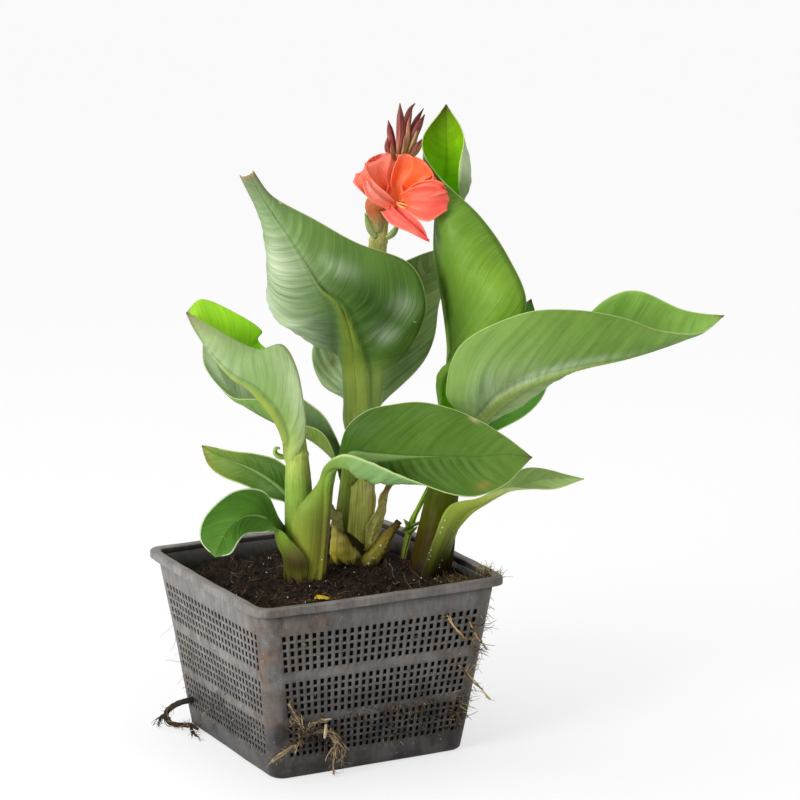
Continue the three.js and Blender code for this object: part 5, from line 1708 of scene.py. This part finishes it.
def make_strands(root, straw):
    """Roots and straw outside the wall: each a main strand with thinner ones twisted round it, and hairs."""
    rng = np.random.default_rng(61)
    for name, strands in STRANDS.items():
        skin = Skin()
        light = name.startswith("straw")
        colours = STRAND_COLOURS["straw" if light else name]
        tones = [[colours[1], colours[2]], ["3a2a1c", colours[0]], [colours[2], "e0cca0"]]
        for k, (line, radius) in enumerate(strands):
            line = [opening(*point) if isinstance(point[0], str) else point for point in line]
            girth = [radius * 0.5, radius, radius * 0.5] if light else [radius * 1.1, radius, radius * 0.6]
            tube(skin, line, girth, colours, 10, 40, rough=0.3, seed=k)
            path, ahead = walk(line, 40)
            short = np.linalg.norm(path[-1] - path[0]) < 20
            twisted, hairs = (2, 8) if light else ((4, 14) if short else (9, 70))
            for f in range(twisted):
                start, stop = (6, 40) if light else (8, rng.integers(24, 41))
                far = rng.uniform(1.5, 3.5) * (0.5 if light else 1.2)
                part = path[start:stop]
                drift = joined(*(wander(part, 22, 900 + 31 * f + 7 * k + axis) for axis in range(3)))
                strand = part + drift * np.linspace(0.6, far, stop - start)[:, None]
                strand[:, 2] = np.maximum(strand[:, 2], 1.2)
                tone = tones[rng.integers(3)]
                girth = [rng.uniform(0.25, 0.6), 0.2]
                tube(skin, strand[::4], girth, tone, 6, 24, rough=0.12, seed=f + 9 * k)
            for h in range(hairs):
                at = rng.integers(10, 41)
                way = unit(ahead[at] * 0.5 + rng.normal(size=3) * 0.7 - (0, 0, 0.2))
                tone = linear(colours[rng.integers(3)])
                length, thick = rng.uniform(2, 8), rng.uniform(0.1, 0.25)
                hair(skin, path[at], way, length, thick, tone, 7000 + h + 70 * k, floor=above_paper)
        if name == "roots_front":
            for k, (line, radius) in enumerate(PALE_BITS):
                girth = [radius * 0.7, radius, radius * 0.7]
                tube(skin, line, girth, ["dccca0", "f4ecd0"], 12, 16, 0.03, seed=k, flat=0.5)
        skin.piece(name + "_fine", name, "straw" if light else "root", [straw if light else root])


def make_wall_fibres(straw):
    """Straw, root hairs and moss that poke out through the mesh."""
    rng = np.random.default_rng(83)
    skin = Skin()
    pale = palette("5a4630", "8a7048", "b0945c", "d0b884", "e0cc9c", "6a6630", "3a2a1c")
    dark = palette("3a2a1c", "2a2018", "4a3826", "6a5030", "2e2a1a", "8a7448", "241a14")

    def poke(side, across, z, length, radius, seed, down=0.3, tones=pale):
        out = taper(z) + 0.2
        start, facing = {
            "F": ((across, -out, z), (0, -1, 0)),
            "R": ((out, across, z), (1, 0, 0)),
            "L": ((-out, across, z), (-1, 0, 0)),
        }[side]
        way = np.array(facing) * 0.8 + rng.normal(size=3) * 0.6 - (0, 0, down)
        hair(skin, start, way, length, radius, tones[rng.integers(7)], seed, 0.4, above_paper)

    for k in range(130):  # tufts by the right front corner
        z = rng.choice([96, 84, 66, 58, 42, 30]) + rng.normal(0, 5)
        side = "F" if rng.random() < 0.5 else "R"
        near_corner = taper(z) - 5
        across = near_corner - abs(rng.normal(0, 6)) if side == "F" else abs(rng.normal(0, 7)) - near_corner
        poke(side, across, z, rng.uniform(3, 11), rng.uniform(0.15, 0.42), 400 + k)
    for k in range(520):  # the dirty lowest band, and loose ends all over
        z = rng.uniform(14, 42) if rng.random() < 0.6 else rng.uniform(42, 104)
        side = "FLR"[rng.integers(3)]
        across = rng.uniform(-0.9, 0.9) * taper(z)
        poke(side, across, z, rng.uniform(1, 4), rng.uniform(0.12, 0.3), 800 + k, 0.6)
    for k in range(420):  # a dark tangle low on the front
        across = rng.uniform(0.1, 0.95) if rng.random() < 0.7 else rng.uniform(-0.8, 0.1)
        length, radius = rng.uniform(1.5, 5), rng.uniform(0.16, 0.4)
        poke("F", across * taper(30), rng.uniform(17, 43), length, radius, 2000 + k, 0.5, dark)
    for k in range(14):  # long fine hairs at the left
        z = rng.uniform(30, 80)
        poke("L", rng.uniform(30, 66), z, rng.uniform(10, 20), 0.16, 1400 + k, 0.9)
    for k in range(70):  # the clump on the rim's corner
        start = (rng.normal(86, 3), rng.normal(-72, 6), rng.uniform(119, 122.5))
        way = (rng.normal(0.3, 0.6), rng.normal(0, 0.6), rng.uniform(0.1, 1.2))
        length, radius = rng.uniform(3, 9), rng.uniform(0.15, 0.35)
        hair(skin, start, way, length, radius, pale[rng.integers(6)], 1500 + k, 0.7)
    skin.piece("wall_fibres", None, "straw", [straw])


def make_scrap(petal):
    skin = Skin()
    blade(skin, SCRAP, rows=24, columns=10, finishes=(0, 0), seed=70)
    skin.piece("yellow_scrap", "petal_scrap", "scrap", [petal])


def build():
    set_camera()
    set_light()
    make_floor()
    fleshy = {"Specular IOR Level": 0.09, "Subsurface Weight": 0.15}
    fleshy |= {"Subsurface Radius": (0.7, 1.0, 0.2), "Subsurface Scale": 0.002}
    dull = {"Specular IOR Level": 0.3}
    stalk = fibre_finish("stalk", fleshy, 0.9, "a3b070", 0.34, 0.46, 0.12)
    old = fibre_finish("old_sheath", {"Specular IOR Level": 0.14}, 0.8, "b8ac74", 0.55, 0.5, 0.4, speck=0.05)
    dry = fibre_finish("dry_sheath", {"Specular IOR Level": 0.12}, 0.7, "b0a870", 0.6, 0.6, 0.5, speck=0.03)
    straw = fibre_finish("straw", dull, 0.4, "a08a60", 0.5, 0.6, 0.2, lengthwise=8.0)
    root = fibre_finish("root", dull, 0.5, "5a4630", 0.6, 0.7, 0.3, lengthwise=6.0)
    calyx = fibre_finish("calyx", {"Subsurface Weight": 0.1}, 1.2, "c4846a", 0.4, 0.4, 0.12)
    bud = fibre_finish("bud_bract", {"Subsurface Weight": 0.08}, 1.0, "6a2c2c", 0.7, 0.35, 0.25)
    scrap = fibre_finish("yellow_petal", {"Subsurface Weight": 0.2}, 1.0, "d8a030", 0.4, 0.5, 0.3)
    # the basket's inside faces take the plastic darkened as painted shade
    make_basket(plastic_finish("basket_plastic", 1.0), plastic_finish("basket_inside_painted_shade", 0.25))
    make_soil(soil_finish())
    make_litter(
        crumb_finish("peat_crumb", 0.8, "8a7a6a", 0.5), crumb_finish("perlite", 0.7, "e4e0d6", 0.4), straw
    )
    make_shoots(stalk, old)
    make_leaves()
    make_sheaths(old, dry)
    make_flower(petal_finish(), calyx)
    make_buds(bud)
    make_strands(root, straw)
    make_wall_fibres(straw)
    make_scrap(scrap)
    rootstock = fibre_finish("rootstock", dull, 1.5, "8a6a44", 0.6, 0.6, 0.5)
    for slot in bpy.data.objects["rhizome"].material_slots:
        slot.material = rootstock


build()
